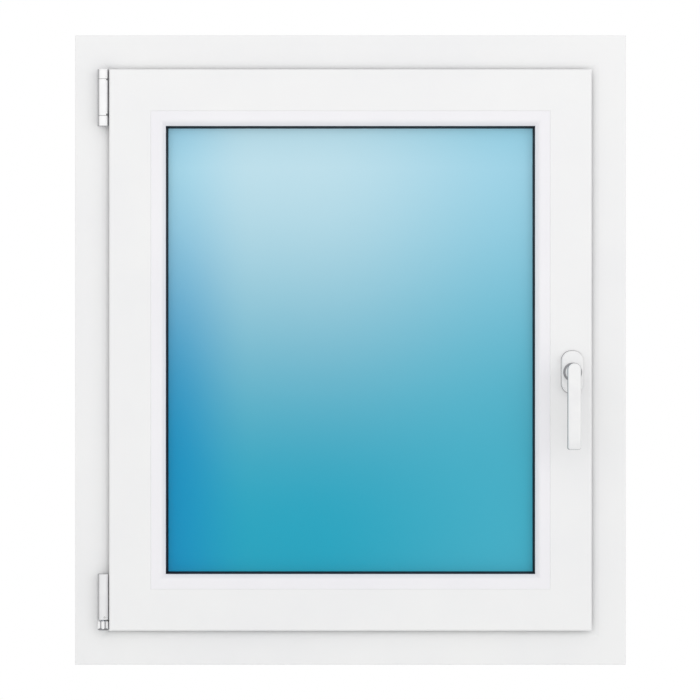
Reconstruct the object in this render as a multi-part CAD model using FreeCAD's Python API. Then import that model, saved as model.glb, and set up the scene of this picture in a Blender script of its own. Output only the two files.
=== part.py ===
"""Single-sash window that opens inwards: it turns about its left edge and tilts about its foot.

Millimetres. X runs to the right as seen from the room, Y runs outdoors, Z runs up.
The origin lies in the middle of the frame's bottom face. The room side faces -Y.
In profile sections, "reach" is measured from the profile's outer edge towards the glass.
"""
import FreeCAD, Part
import math
import os

V = FreeCAD.Vector

# Overall sizes
FRAME_WIDTH = 700.0
FRAME_HEIGHT = 800.0
FRAME_DEPTH = 70.0

# Frame profile
FRAME_FACE = 44.4             # frame width left showing beside the sash
SHOULDER_WIDTH = 10.4         # rounded fall from the frame's face to the landing under the sash lip
SHOULDER_DROP = 2.5
LIP_OVERLAP = 6.0             # sash lip over the landing
UPSTAND_HEIGHT = 20.0         # outdoor upstand beyond the rebate face
UPSTAND_THICKNESS = 12.0
PROFILE_WALL = 2.8
PROFILE_WEB = 1.6
WALL_GROOVE_DEPTH = 2.0
WALL_GROOVE_WIDTH = 6.0

# Sash profile
REBATE_GAP = 9.0              # air between the frame's rebate and the sash
SEAL_GAP = 5.0                # air that each gasket bridges
SASH_PROUD = 18.0             # sash face in front of the frame face
SASH_CORE = 37.8              # from the groove face to the bead
BEAD_WIDTH = 18.7
BEAD_FLAT = 11.6              # flat part of the bead's face
BEAD_DEPTH = 14.0
GASKET_THICKNESS = 4.0        # each side of the glass
GASKET_SHOWING = 2.9
PANE = 4.0
PANE_GAP = 16.0
GLASS_EDGE_GAP = 5.2          # glazing rebate floor to the glass edge
SPACER_HEIGHT = 6.5
EDGE_SEAL_HEIGHT = 5.0
STEEL_WALL = 1.5
STEEL_END_GAP = 6.0           # steel tube short of the weld
SETTING_BLOCK_LENGTH = 90.0

# Hardware groove in the sash
GROOVE_SETBACK = 13.0         # groove centre behind the lip's back face
FACEPLATE_WIDTH = 16.0
FACEPLATE_THICKNESS = 1.8
ROD_WIDTH = 10.0
ROD_THICKNESS = 2.4
ROD_SLOT_WIDTH = 12.2
GROOVE_DEPTH = 5.5
CORNER_LEG = 50.0             # corner drive, along each groove
PLATE_SCREW_OFFSET = 45.0      # faceplate screws beside the end cams
RAIL_LONG_END = 140.0          # guide rail beyond the stay pin, towards the hinge
RAIL_SHORT_END = 26.0          # and towards the lock
RAIL_SCREW_INSETS = (20.0, 8.0)  # its screws from those two ends
CAM_HEAD_RADIUS = 5.0
CAM_STEM_RADIUS = 3.0
CAM_PROUD = 4.4               # cam head above the groove face
CAM_CORNER_DISTANCE = 120.0   # top and bottom cams from the lock-side corner
UPPER_CAM_RISE = 188.0        # lock cams from the handle axis
LOWER_CAM_DROP = 142.0
KEEP_THICKNESS = 2.5
KEEP_LIP = 1.2
KEEP_WIDTH = 14.0
KEEP_END = 16.0               # keep beyond the cam's travel, at each end
KEEP_LIP_THICKNESS = 1.6
KEEP_LIP_END = 8.0             # lip short of the keep's ends
KEEP_SCREW_END = 4.5           # screws from the keep's ends

# Handle and gear
HANDLE_INSET = 25.0           # spindle from the sash edge
HANDLE_HEIGHT = 327.6         # spindle above the sash's bottom edge
HANDLE_SWEEP = 180.0          # degrees, lever down to lever up
SPINDLE_SIDE = 7.0
GEAR_MODULE = 0.8
GEAR_TEETH = 18
GEAR_THICKNESS = 6.0
PRESSURE_ANGLE = math.radians(20.0)
BACKLASH = 0.12
HOUSING_WALL = 1.5
ROSETTE_WIDTH = 27.4
ROSETTE_HEIGHT = 54.0
ROSETTE_DEPTH = 10.0
ROSETTE_WALL = 1.6
ROSETTE_CORNER = 12.6
HANDLE_BASE_THICKNESS = 7.0
HANDLE_SCREW_SPACING = 43.0
HANDLE_SCREW_HEAD = 3.8       # radius
HANDLE_SCREW_SHANK = 2.5      # radius
HUB_RADIUS = 9.0
COLLAR_RADIUS = 11.4          # foot of the neck, on the rosette
COLLAR_HEIGHT = 3.0
NECK_RADIUS = 7.2
LEVER_WIDTH = 16.6
LEVER_THICKNESS = 12.0
LEVER_ABOVE = 7.9             # lever above the spindle axis
LEVER_BELOW = 96.6
LEVER_STANDOFF = 45.0         # back of the lever from the sash face
LEVER_RIM = 2.2
LEVER_FOOT_CORNER = 2.6
SPINDLE_IN_LEVER = 22.0        # spindle beyond the rosette's face

# Hinges
KNUCKLE_RADIUS = 7.2
KNUCKLE_SIDE_GAP = 0.8        # knuckle to the sash edge
KNUCKLE_CLEARANCE = 1.0       # knuckle to the frame face
KNUCKLE_JOINT = 0.4
UPPER_KNUCKLE = 12.2
ARM_KNUCKLE = 46.1
LOWER_KNUCKLE = 13.3
HINGE_PIN_RADIUS = 3.0
TILT_AXIS_HEIGHT = 4.0        # above the sash's bottom edge
BEARING_HEIGHT = 11.8
BEARING_GAP = 1.6             # bearing to sleeve, room for the tilted sleeve
SLEEVE_HEIGHT = 58.0
POST_RADIUS = 2.6
POST_LIFT = 0.7               # foot of the post above the swivel, room for its lean
SWIVEL_RADIUS = 4.32
TRUNNION_RADIUS = 1.0
BAND_THICKNESS = 3.0
BAND_INSETS = (8.0, 4.0)      # band short of the sleeve, below and above
ARM_NECK_HEIGHT = 22.0
CORNER_LEAF = 20.0            # foot bearing's leaf along the landing
TOP_LEAF = 24.0               # top knuckle's leaf along the landing
REBATE_LEAF_DROP = 34.0
REBATE_LEAF_DEPTH = 22.0
STAY_REACH = 250.0            # hinge axis to the sliding pin
STAY_THICKNESS = 2.4
STAY_WIDTH = 14.0
STAY_CLEARANCE = 3.2          # arm above the sash, which rises as it tilts
STAY_PIN_RADIUS = 3.0
STAY_PIN_SLOT = 8.6
STAY_PIN_TRAVEL = 12.5

# Fastening to the wall and drainage
ANCHOR_RADIUS = 3.25
ANCHOR_END_DISTANCE = 150.0
DRAIN_END_DISTANCE = 130.0
DRAIN_SLOT = (26.0, 5.0)
DRAIN_CAP = (40.0, 14.0, 4.0)   # width, height, how far it stands out
DRAIN_CAP_WALL = 1.6

# Clearances
RUNNING = 0.08                # shaft in bore, radial
FREE = 0.3                    # around a part in its pocket
SEAL_TOUCH = 0.3              # gasket nose before it is pressed
ROD_PLAY = 0.2                # rod under its faceplate and beside its guide
CUT_PAST = 1.0                # cutters reach beyond what they cut

# Places that follow from the sizes
ROOM_FACE = -FRAME_DEPTH / 2
OUT_FACE = FRAME_DEPTH / 2
LANDING = ROOM_FACE + SHOULDER_DROP
REBATE_REACH = FRAME_FACE + LIP_OVERLAP
UPSTAND_REACH = REBATE_REACH + UPSTAND_HEIGHT
UPSTAND_FACE = OUT_FACE - UPSTAND_THICKNESS
SASH_FACE = ROOM_FACE - SASH_PROUD
SASH_BACK = UPSTAND_FACE - SEAL_GAP
LIP_BACK = LANDING - SEAL_GAP
LIP_WIDTH = LIP_OVERLAP + REBATE_GAP
BEAD_REACH = LIP_WIDTH + SASH_CORE
BEAD_TIP = BEAD_REACH + BEAD_WIDTH
BEAD_BACK = SASH_FACE + BEAD_DEPTH
GLASS_ROOM = BEAD_BACK + GASKET_THICKNESS
GLASS_OUT = GLASS_ROOM + 2 * PANE + PANE_GAP
LEG_FACE = GLASS_OUT + GASKET_THICKNESS - 0.5
GLASS_REACH = BEAD_REACH + GLASS_EDGE_GAP
GROOVE_Y = LIP_BACK + GROOVE_SETBACK

SASH_HALF = FRAME_WIDTH / 2 - FRAME_FACE
SASH_BOTTOM = FRAME_FACE
SASH_TOP = FRAME_HEIGHT - FRAME_FACE
SASH_MIDDLE = (SASH_BOTTOM + SASH_TOP) / 2
REBATE_X = FRAME_WIDTH / 2 - REBATE_REACH
REBATE_TOP = FRAME_HEIGHT - REBATE_REACH
CORE_X = SASH_HALF - LIP_WIDTH
CORE_BOTTOM = SASH_BOTTOM + LIP_WIDTH
CORE_TOP = SASH_TOP - LIP_WIDTH

HANDLE_X = SASH_HALF - HANDLE_INSET
HANDLE_Z = SASH_BOTTOM + HANDLE_HEIGHT
PITCH_RADIUS = GEAR_MODULE * GEAR_TEETH / 2
ROD_TRAVEL = PITCH_RADIUS * math.radians(HANDLE_SWEEP)
CAM_X = CORE_X - CAM_CORNER_DISTANCE
LOWER_CAM_Z = HANDLE_Z - LOWER_CAM_DROP
UPPER_CAM_Z = HANDLE_Z + UPPER_CAM_RISE

HINGE_X = -SASH_HALF - KNUCKLE_RADIUS - KNUCKLE_SIDE_GAP
HINGE_Y = ROOM_FACE - KNUCKLE_RADIUS - KNUCKLE_CLEARANCE
TILT_Z = SASH_BOTTOM + TILT_AXIS_HEIGHT
BEARING_BOTTOM = SASH_BOTTOM + KNUCKLE_JOINT
BEARING_TOP = BEARING_BOTTOM + BEARING_HEIGHT
SLEEVE_BOTTOM = BEARING_TOP + BEARING_GAP
SLEEVE_TOP = SLEEVE_BOTTOM + SLEEVE_HEIGHT
UPPER_KNUCKLE_TOP = SASH_TOP + KNUCKLE_JOINT
UPPER_KNUCKLE_BOTTOM = UPPER_KNUCKLE_TOP - UPPER_KNUCKLE
ARM_KNUCKLE_TOP = UPPER_KNUCKLE_BOTTOM - KNUCKLE_JOINT
ARM_KNUCKLE_BOTTOM = ARM_KNUCKLE_TOP - ARM_KNUCKLE
LOWER_KNUCKLE_TOP = ARM_KNUCKLE_BOTTOM - KNUCKLE_JOINT
LOWER_KNUCKLE_BOTTOM = LOWER_KNUCKLE_TOP - LOWER_KNUCKLE
STAY_BOTTOM = CORE_TOP + STAY_CLEARANCE
STAY_TOP = STAY_BOTTOM + STAY_THICKNESS
STAY_PIN_X = HINGE_X + STAY_REACH

LIP_BACK_GAP = 0.6            # hinge necks behind the sash lip
LEAF_THICKNESS = 2.3


# Shapes

def box(x_range, y_range, z_range):
    """Block between three pairs of planes."""
    size = [max(pair) - min(pair) for pair in (x_range, y_range, z_range)]
    corner = V(min(x_range), min(y_range), min(z_range))
    return Part.makeBox(size[0], size[1], size[2], corner)


def rod(start, end, radius):
    """Cylinder from one point to another."""
    line = end - start
    return Part.makeCylinder(radius, line.Length, start, line)


def cone(start, end, start_radius, end_radius):
    """Cone frustum from one point to another."""
    line = end - start
    return Part.makeCone(start_radius, end_radius, line.Length, start, line)


def joined(shapes):
    """One solid from shapes that touch or overlap."""
    first = shapes[0]
    if len(shapes) == 1:
        return first
    return first.fuse(shapes[1:]).removeSplitter()


def without(shape, cutters):
    """The shape with every cutter taken away."""
    return shape.cut(cutters)


def corner_arc(before, corner, after, radius):
    """Arc that rounds a corner, with its two tangent points."""
    to_before = (before - corner).normalize()
    to_after = (after - corner).normalize()
    half_angle = to_before.getAngle(to_after) / 2
    tangent = radius / math.tan(half_angle)
    start = corner + to_before * tangent
    end = corner + to_after * tangent
    middle_way = (to_before + to_after).normalize()
    middle = corner + middle_way * (radius / math.sin(half_angle) - radius)
    return start, Part.Arc(start, middle, end).toShape(), end


def outline(points, radii):
    """Closed wire through points, each corner rounded by its own radius."""
    pieces = []
    count = len(points)
    for index, corner in enumerate(points):
        radius = radii[index]
        if radius > 0:
            pieces.append(corner_arc(points[index - 1], corner, points[(index + 1) % count], radius))
        else:
            pieces.append((corner, None, corner))
    edges = []
    for index, (_, arc, leave) in enumerate(pieces):
        arrive = pieces[(index + 1) % count][0]
        if arc is not None:
            edges.append(arc)
        if leave.distanceToPoint(arrive) > 1e-4:
            edges.append(Part.makeLine(leave, arrive))
    return Part.Wire(edges)


def section(corners):
    """Profile face in the YZ plane from corners (reach, y, radius)."""
    points = [V(0, y, reach) for reach, y, _ in corners]
    return Part.Face(outline(points, [radius for _, _, radius in corners]))


def chamber(reach_range, y_range, radius=0.6):
    """Rectangular hollow of a profile section."""
    near, far = reach_range
    front, back = y_range
    corners = [(near, front), (far, front), (far, back), (near, back)]
    return section([(reach, y, radius) for reach, y in corners])


def plan_plate(corners, z_range):
    """Plate with an outline (x, y, radius) seen from above."""
    points = [V(x, y, min(z_range)) for x, y, _ in corners]
    face = Part.Face(outline(points, [radius for _, _, radius in corners]))
    return face.extrude(V(0, 0, max(z_range) - min(z_range)))


def front_plate(corners, y_range):
    """Plate with an outline (x, z, radius) seen from the room."""
    points = [V(x, min(y_range), z) for x, z, _ in corners]
    face = Part.Face(outline(points, [radius for _, _, radius in corners]))
    return face.extrude(V(0, max(y_range) - min(y_range), 0))


def rounded_front(centre_x, z_range, width, radius, y_range):
    """Rectangle with rounded corners seen from the room."""
    low, high = z_range
    left = centre_x - width / 2
    right = centre_x + width / 2
    corners = [(left, low), (right, low), (right, high), (left, high)]
    return front_plate([(x, z, radius) for x, z in corners], y_range)


# Profile bars round a rectangle

SIDES = ("bottom", "top", "hinge", "lock")
FRAME_RECTANGLE = (FRAME_WIDTH / 2, 0.0, FRAME_HEIGHT)
SASH_RECTANGLE = (SASH_HALF, SASH_BOTTOM, SASH_TOP)
MITRE_REACH = 120.0


def side_length(side, rectangle):
    """Length of one side of a rectangle (half width, low, high)."""
    half_width, low, high = rectangle
    return 2 * half_width if side in ("bottom", "top") else high - low


def placed_on_side(bar, side, rectangle):
    """Bar that runs along X with its reach along Z, turned and moved to its side."""
    half_width, low, high = rectangle
    turn = {"bottom": 0, "top": 180, "hinge": 90, "lock": -90}[side]
    place = {
        "bottom": V(0, 0, low),
        "top": V(0, 0, high),
        "hinge": V(-half_width, 0, (low + high) / 2),
        "lock": V(half_width, 0, (low + high) / 2),
    }[side]
    placed = bar.copy()
    placed.rotate(V(0, 0, 0), V(0, 1, 0), turn)
    placed.translate(place)
    return placed


def mitred_bar(face, side, rectangle):
    """Profile along one side, cut at 45 degrees at both ends."""
    length = side_length(side, rectangle)
    bar = face.extrude(V(length, 0, 0))
    bar.translate(V(-length / 2, 0, 0))
    depth = 4 * FRAME_DEPTH
    half = length / 2
    corners = [(-half, 0, 0), (half, 0, 0), (half - MITRE_REACH, MITRE_REACH, 0),
               (MITRE_REACH - half, MITRE_REACH, 0)]
    keep = front_plate(corners, (-depth / 2, depth / 2))
    return placed_on_side(bar.common(keep), side, rectangle)


def straight_bar(face, side, rectangle, end_gap):
    """Profile along one side, square-cut short of both corners."""
    length = side_length(side, rectangle) - 2 * end_gap
    bar = face.extrude(V(length, 0, 0))
    bar.translate(V(-length / 2, 0, 0))
    return placed_on_side(bar, side, rectangle)


def mitred_ring(face, rectangle):
    """Profile all round a rectangle as one solid."""
    return joined([mitred_bar(face, side, rectangle) for side in SIDES])


# Sections

FRAME_STEEL_SPACE = ((6.0, REBATE_REACH - PROFILE_WALL), (ROOM_FACE + 12.3, ROOM_FACE + 43.0))
SASH_STEEL_SPACE = ((LIP_WIDTH + PROFILE_WALL, BEAD_REACH - PROFILE_WALL),
                    (GROOVE_Y + 10.8, SASH_BACK - PROFILE_WALL))


def frame_section():
    """Outer frame profile with its chambers."""
    turn = 2 * math.atan(SHOULDER_DROP / SHOULDER_WIDTH)
    shoulder_radius = SHOULDER_WIDTH / math.sin(turn)
    shoulder_start = FRAME_FACE - SHOULDER_WIDTH
    shoulder_corner = shoulder_start + shoulder_radius * math.tan(turn / 2)
    groove_near = FRAME_DEPTH / 4
    groove_far = groove_near + WALL_GROOVE_WIDTH
    bevel = UPSTAND_THICKNESS - 5.0
    shell = section([
        (0, ROOM_FACE, 1.5),
        (shoulder_corner, ROOM_FACE, shoulder_radius),
        (FRAME_FACE, LANDING, 0),
        (REBATE_REACH, LANDING, 1.0),
        (REBATE_REACH, UPSTAND_FACE, 0),
        (UPSTAND_REACH, UPSTAND_FACE, 0.8),
        (UPSTAND_REACH, OUT_FACE - bevel, 1.0),
        (UPSTAND_REACH - 1.5 * bevel, OUT_FACE, 1.5),
        (0, OUT_FACE, 0.8),
        (0, groove_far, 0),
        (WALL_GROOVE_DEPTH, groove_far, 0),
        (WALL_GROOVE_DEPTH, groove_near, 0),
        (0, groove_near, 0),
        (0, -groove_near, 0),
        (WALL_GROOVE_DEPTH, -groove_near, 0),
        (WALL_GROOVE_DEPTH, -groove_far, 0),
        (0, -groove_far, 0),
    ])
    near = WALL_GROOVE_DEPTH + PROFILE_WALL
    far = REBATE_REACH - PROFILE_WALL
    steel_front, steel_back = FRAME_STEEL_SPACE[1]
    upstand_web = UPSTAND_FACE - PROFILE_WEB / 2
    room_chamber = section([
        (near, ROOM_FACE + PROFILE_WALL, 0.6),
        (shoulder_start, ROOM_FACE + PROFILE_WALL, 0.6),
        (far, LANDING + PROFILE_WALL, 0.6),
        (far, steel_front - PROFILE_WEB, 0.6),
        (near, steel_front - PROFILE_WEB, 0.6),
    ])
    upstand_chamber = section([
        (REBATE_REACH, UPSTAND_FACE + PROFILE_WALL, 0.6),
        (UPSTAND_REACH - PROFILE_WALL, UPSTAND_FACE + PROFILE_WALL, 0.6),
        (UPSTAND_REACH - 1.5 * bevel - PROFILE_WEB, OUT_FACE - PROFILE_WALL, 0.6),
        (REBATE_REACH, OUT_FACE - PROFILE_WALL, 0.6),
    ])
    hollows = [
        room_chamber,
        chamber(FRAME_STEEL_SPACE[0], FRAME_STEEL_SPACE[1]),
        chamber((near, far), (steel_back + PROFILE_WEB, upstand_web - PROFILE_WEB)),
        chamber((near, far), (upstand_web, OUT_FACE - PROFILE_WALL)),
        upstand_chamber,
    ]
    return shell.cut(hollows)


def groove_corners():
    """Stepped hardware groove of the sash, walked from the back to the front."""
    half_plate = FACEPLATE_WIDTH / 2 + 0.1
    half_slot = ROD_SLOT_WIDTH / 2
    step = LIP_WIDTH + FACEPLATE_THICKNESS
    floor = LIP_WIDTH + GROOVE_DEPTH
    return [
        (LIP_WIDTH, GROOVE_Y + half_plate, 0),
        (step, GROOVE_Y + half_plate, 0),
        (step, GROOVE_Y + half_slot, 0),
        (floor, GROOVE_Y + half_slot, 0),
        (floor, GROOVE_Y - half_slot, 0),
        (step, GROOVE_Y - half_slot, 0),
        (step, GROOVE_Y - half_plate, 0),
        (LIP_WIDTH, GROOVE_Y - half_plate, 0),
    ]


CLIP_GROOVE = (SASH_FACE + 4.7, SASH_FACE + 7.8)
CLIP_REACH = 2.8


def sash_section():
    """Sash profile with its chambers, bead seat and hardware groove."""
    outer_corner = BEAD_TIP - 12.5
    shell = section([
        (0, SASH_FACE, 2.5),
        (BEAD_REACH, SASH_FACE, 0.6),
        (BEAD_REACH, CLIP_GROOVE[0], 0),
        (BEAD_REACH - CLIP_REACH, CLIP_GROOVE[0], 0),
        (BEAD_REACH - CLIP_REACH, CLIP_GROOVE[1], 0),
        (BEAD_REACH, CLIP_GROOVE[1], 0),
        (BEAD_REACH, LEG_FACE, 0),
        (BEAD_TIP, LEG_FACE, 0.5),
        (BEAD_TIP, LEG_FACE + 3.5, 1.0),
        (outer_corner, SASH_BACK, 2.0),
        (LIP_WIDTH, SASH_BACK, 1.0),
    ] + groove_corners() + [
        (LIP_WIDTH, LIP_BACK, 0.5),
        (0, LIP_BACK, 1.0),
    ])
    wall = PROFILE_WALL
    groove_floor = LIP_WIDTH + GROOVE_DEPTH + wall
    steel_front = SASH_STEEL_SPACE[1][0]
    gear_front = GROOVE_Y - 9.2
    core_start = LIP_WIDTH + wall
    outer_leg = section([
        (BEAD_REACH + 2.2, LEG_FACE + wall, 0.6),
        (BEAD_TIP - 4.5, LEG_FACE + wall, 0.6),
        (outer_corner - 1.5, SASH_BACK - 2 * wall, 0.6),
        (BEAD_REACH + 2.2, SASH_BACK - 2 * wall, 0.6),
    ])
    hollows = [
        chamber((wall, core_start - PROFILE_WEB), (SASH_FACE + wall, LIP_BACK - wall)),
        chamber((core_start, BEAD_REACH - CLIP_REACH - wall), (SASH_FACE + wall, gear_front - PROFILE_WEB)),
        chamber((groove_floor, BEAD_REACH - wall), (gear_front, steel_front - PROFILE_WEB)),
        chamber(SASH_STEEL_SPACE[0], SASH_STEEL_SPACE[1]),
        outer_leg,
    ]
    return shell.cut(hollows)


def bead_section():
    """Hollow glazing bead with its clip tongue."""
    play = 0.15
    tongue_reach = BEAD_REACH - CLIP_REACH + play
    shell = section([
        (BEAD_REACH, SASH_FACE, 0.6),
        (BEAD_REACH + BEAD_FLAT + 1.6, SASH_FACE, 7.0),
        (BEAD_TIP, SASH_FACE + 5.0, 1.2),
        (BEAD_TIP, BEAD_BACK, 0.5),
        (BEAD_REACH, BEAD_BACK, 0),
        (BEAD_REACH, CLIP_GROOVE[1] - play, 0),
        (tongue_reach, CLIP_GROOVE[1] - play, 0),
        (tongue_reach, CLIP_GROOVE[0] + play, 0),
        (BEAD_REACH, CLIP_GROOVE[0] + play, 0),
    ])
    hollow = section([
        (BEAD_REACH + 1.6, SASH_FACE + 2.0, 0.6),
        (BEAD_REACH + BEAD_FLAT, SASH_FACE + 2.0, 0.6),
        (BEAD_TIP - 2.0, SASH_FACE + 7.0, 0.6),
        (BEAD_TIP - 2.0, BEAD_BACK - 1.6, 0.6),
        (BEAD_REACH + 1.6, BEAD_BACK - 1.6, 0.6),
    ])
    return shell.cut(hollow)


def steel_section(space):
    """Square steel tube that fills a profile chamber."""
    (near, far), (front, back) = space
    tube = chamber((near, far), (front, back), 0.6)
    inside = chamber((near + STEEL_WALL, far - STEEL_WALL), (front + STEEL_WALL, back - STEEL_WALL), 0.4)
    return tube.cut(inside)


def bead_gasket_section():
    """Black seal between the bead and the room-side pane."""
    return section([
        (BEAD_TIP - 7.5, BEAD_BACK, 0),
        (BEAD_TIP, BEAD_BACK, 0),
        (BEAD_TIP, BEAD_BACK - 2.0, 0),
        (BEAD_TIP + 0.9, BEAD_BACK - 2.0, 0.4),
        (BEAD_TIP + GASKET_SHOWING, GLASS_ROOM, 0),
        (BEAD_TIP - 7.5, GLASS_ROOM, 0),
    ])


def outer_glazing_gasket_section():
    """Seal between the outdoor pane and the sash's outer leg."""
    return section([
        (BEAD_TIP - 7.5, GLASS_OUT, 0),
        (BEAD_TIP + GASKET_SHOWING, GLASS_OUT, 0),
        (BEAD_TIP + 0.9, LEG_FACE + 1.0, 0.4),
        (BEAD_TIP, LEG_FACE + 1.0, 0),
        (BEAD_TIP, LEG_FACE, 0),
        (BEAD_TIP - 7.5, LEG_FACE, 0),
    ])


def sash_gasket_section():
    """Soft seal on the lip's back that meets the frame's landing."""
    nose = LANDING - SEAL_TOUCH
    return section([
        (SHOULDER_DROP + 1.7, LIP_BACK, 0),
        (8.4, LIP_BACK, 0),
        (8.4, LIP_BACK + 1.4, 0.5),
        (6.6, nose, 0.6),
        (5.0, nose, 0.6),
        (SHOULDER_DROP + 1.7, LIP_BACK + 1.4, 0.5),
    ])


def frame_gasket_section():
    """Soft seal on the frame's upstand that meets the sash's back."""
    nose = SASH_BACK + SEAL_TOUCH
    return section([
        (UPSTAND_REACH - 7.0, UPSTAND_FACE, 0),
        (UPSTAND_REACH - 1.6, UPSTAND_FACE, 0),
        (UPSTAND_REACH - 1.6, UPSTAND_FACE - 1.6, 0.5),
        (UPSTAND_REACH - 4.4, nose, 0.5),
        (UPSTAND_REACH - 6.0, nose, 0.5),
        (UPSTAND_REACH - 7.0, UPSTAND_FACE - 1.6, 0.5),
    ])


# Fasteners

def countersunk(seat, direction, head_radius, shank_radius, length):
    """Countersunk screw whose flat head lies in the surface at its seat."""
    way = V(direction).normalize()
    head_depth = head_radius - shank_radius
    head = cone(seat, seat + way * head_depth, head_radius, shank_radius)
    shank = rod(seat + way * head_depth, seat + way * length, shank_radius)
    recess = rod(seat, seat + way * (0.5 * head_depth), 0.35 * head_radius)
    return joined([head, shank]).cut(recess)


def screw_envelope(seat, direction, head_radius, shank_radius, length):
    """Space that a countersunk screw takes, without its drive recess."""
    way = V(direction).normalize()
    head_depth = head_radius - shank_radius
    return joined([
        cone(seat, seat + way * head_depth, head_radius, shank_radius),
        rod(seat + way * head_depth, seat + way * length, shank_radius),
    ])


PLATE_SCREW = (3.6, 1.9)      # head radius, shank radius
PLATE_SCREW_LENGTH = 14.0


def keep_zones():
    """Each keep's side, middle along that side and clear travel of its cam."""
    return {
        "keep_lock_lower": ("lock", LOWER_CAM_Z + ROD_TRAVEL / 2),
        "keep_lock_upper": ("lock", UPPER_CAM_Z + ROD_TRAVEL / 2),
        "keep_top": ("top", CAM_X - ROD_TRAVEL / 2),
        "keep_bottom": ("bottom", CAM_X + ROD_TRAVEL / 2),
    }


KEEP_HALF = ROD_TRAVEL / 2 + KEEP_END


def side_frame(side, along, height):
    """Point on a side at a height above the frame's rebate face, over the groove's centre."""
    return {
        "lock": V(REBATE_X - height, GROOVE_Y, along),
        "top": V(along, GROOVE_Y, REBATE_TOP - height),
        "bottom": V(along, GROOVE_Y, REBATE_REACH + height),
    }[side]


def inward(side):
    """Direction from the sash into the frame profile on one side."""
    return {"lock": V(1, 0, 0), "top": V(0, 0, 1), "bottom": V(0, 0, -1)}[side]


def side_block(side, along_range, y_range, height_range):
    """Block on a side, by its place along it and its height above the rebate face."""
    low, high = height_range
    if side == "lock":
        return box((REBATE_X - high, REBATE_X - low), y_range, along_range)
    if side == "top":
        return box(along_range, y_range, (REBATE_TOP - high, REBATE_TOP - low))
    return box(along_range, y_range, (REBATE_REACH + low, REBATE_REACH + high))


def keep(side, middle):
    """Base plate with a low lip on the room side of the cam's path."""
    half_width = KEEP_WIDTH / 2
    ends = (middle - KEEP_HALF, middle + KEEP_HALF)
    base = side_block(side, ends, (GROOVE_Y - half_width, GROOVE_Y + half_width), (0, KEEP_THICKNESS))
    lip_ends = (middle - KEEP_HALF + KEEP_LIP_END, middle + KEEP_HALF - KEEP_LIP_END)
    lip_y = (GROOVE_Y - half_width, GROOVE_Y - half_width + KEEP_LIP_THICKNESS)
    lip = side_block(side, lip_ends, lip_y, (KEEP_THICKNESS, KEEP_THICKNESS + KEEP_LIP))
    return joined([base, lip])


def keep_screw_seats():
    """Seat, direction of each keep screw."""
    seats = []
    for side, middle in keep_zones().values():
        for end in (-1, 1):
            along = middle + end * (KEEP_HALF - KEEP_SCREW_END)
            seats.append((side_frame(side, along, KEEP_THICKNESS), inward(side)))
    return seats


def plate_screws(seats, length):
    """Screws in plates, as one group of separate solids."""
    return Part.makeCompound([countersunk(seat, way, *PLATE_SCREW, length) for seat, way in seats])


def plate_screw_spaces(seats, length):
    """Spaces of the same screws, to be taken from what they pass through."""
    return [screw_envelope(seat, way, *PLATE_SCREW, length) for seat, way in seats]


# Frame

def anchor_holes():
    """Holes through both jambs for the wall anchors."""
    holes = []
    for sign in (-1, 1):
        for z in (ANCHOR_END_DISTANCE, FRAME_HEIGHT - ANCHOR_END_DISTANCE):
            start = V(sign * (REBATE_X - 1), 0, z)
            holes.append(rod(start, V(sign * (FRAME_WIDTH / 2 + 1), 0, z), ANCHOR_RADIUS))
    return holes


def drain_places():
    """Middles of the two drainage slots along the sill."""
    place = FRAME_WIDTH / 2 - DRAIN_END_DISTANCE
    return (-place, place)


def drain_cuts():
    """Slots from the rebate floor to the outdoor chamber and out through the face."""
    length, height = DRAIN_SLOT
    cuts = []
    for x in drain_places():
        span = (x - length / 2, x + length / 2)
        outlet_z = (UPSTAND_REACH / 4, UPSTAND_REACH / 4 + height)
        cuts.append(box(span, (UPSTAND_FACE - 6, UPSTAND_FACE - 1), (REBATE_REACH - 6, REBATE_REACH + 1)))
        cuts.append(box(span, (UPSTAND_FACE, OUT_FACE + 1), outlet_z))
    return cuts


def drain_caps():
    """Clip-on rain caps over the outlets, open at the bottom."""
    caps = []
    width, height, proud = DRAIN_CAP
    middle = UPSTAND_REACH / 4 + DRAIN_SLOT[1] / 2
    inner_half = width / 2 - DRAIN_CAP_WALL
    for x in drain_places():
        cap = box((x - width / 2, x + width / 2), (OUT_FACE, OUT_FACE + proud),
                  (middle - height / 2, middle + height / 2))
        front = [edge for edge in cap.Edges if edge.BoundBox.YMin > OUT_FACE + proud - 0.1]
        cap = cap.makeFillet(DRAIN_CAP_WALL - 0.1, front)
        inside = box((x - inner_half, x + inner_half),
                     (OUT_FACE - CUT_PAST, OUT_FACE + proud - DRAIN_CAP_WALL),
                     (middle - height / 2 - CUT_PAST, middle + height / 2 - DRAIN_CAP_WALL))
        caps.append(cap.cut(inside))
    return Part.makeCompound(caps)


def frame_members():
    """Sill, head and two jambs with every hole they carry."""
    face = frame_section()
    names = {"bottom": "frame_sill", "top": "frame_head", "hinge": "frame_jamb_hinge",
             "lock": "frame_jamb_lock"}
    screws = plate_screw_spaces(keep_screw_seats(), PLATE_SCREW_LENGTH)
    screws += plate_screw_spaces(hinge_screw_seats(), PLATE_SCREW_LENGTH)
    cutters = {
        "bottom": screws + drain_cuts(),
        "top": screws,
        "hinge": screws + anchor_holes(),
        "lock": screws + anchor_holes(),
    }
    return {names[side]: without(mitred_bar(face, side, FRAME_RECTANGLE), cutters[side])
            for side in SIDES}


def frame_steels():
    """Steel tube in each frame member, square-cut short of the welds."""
    face = steel_section(FRAME_STEEL_SPACE)
    end_gap = REBATE_REACH + STEEL_END_GAP
    tubes = [straight_bar(face, side, FRAME_RECTANGLE, end_gap) for side in SIDES]
    cutters = anchor_holes() + plate_screw_spaces(keep_screw_seats() + hinge_screw_seats(),
                                                  PLATE_SCREW_LENGTH)
    return Part.makeCompound([without(tube, cutters) for tube in tubes])


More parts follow.
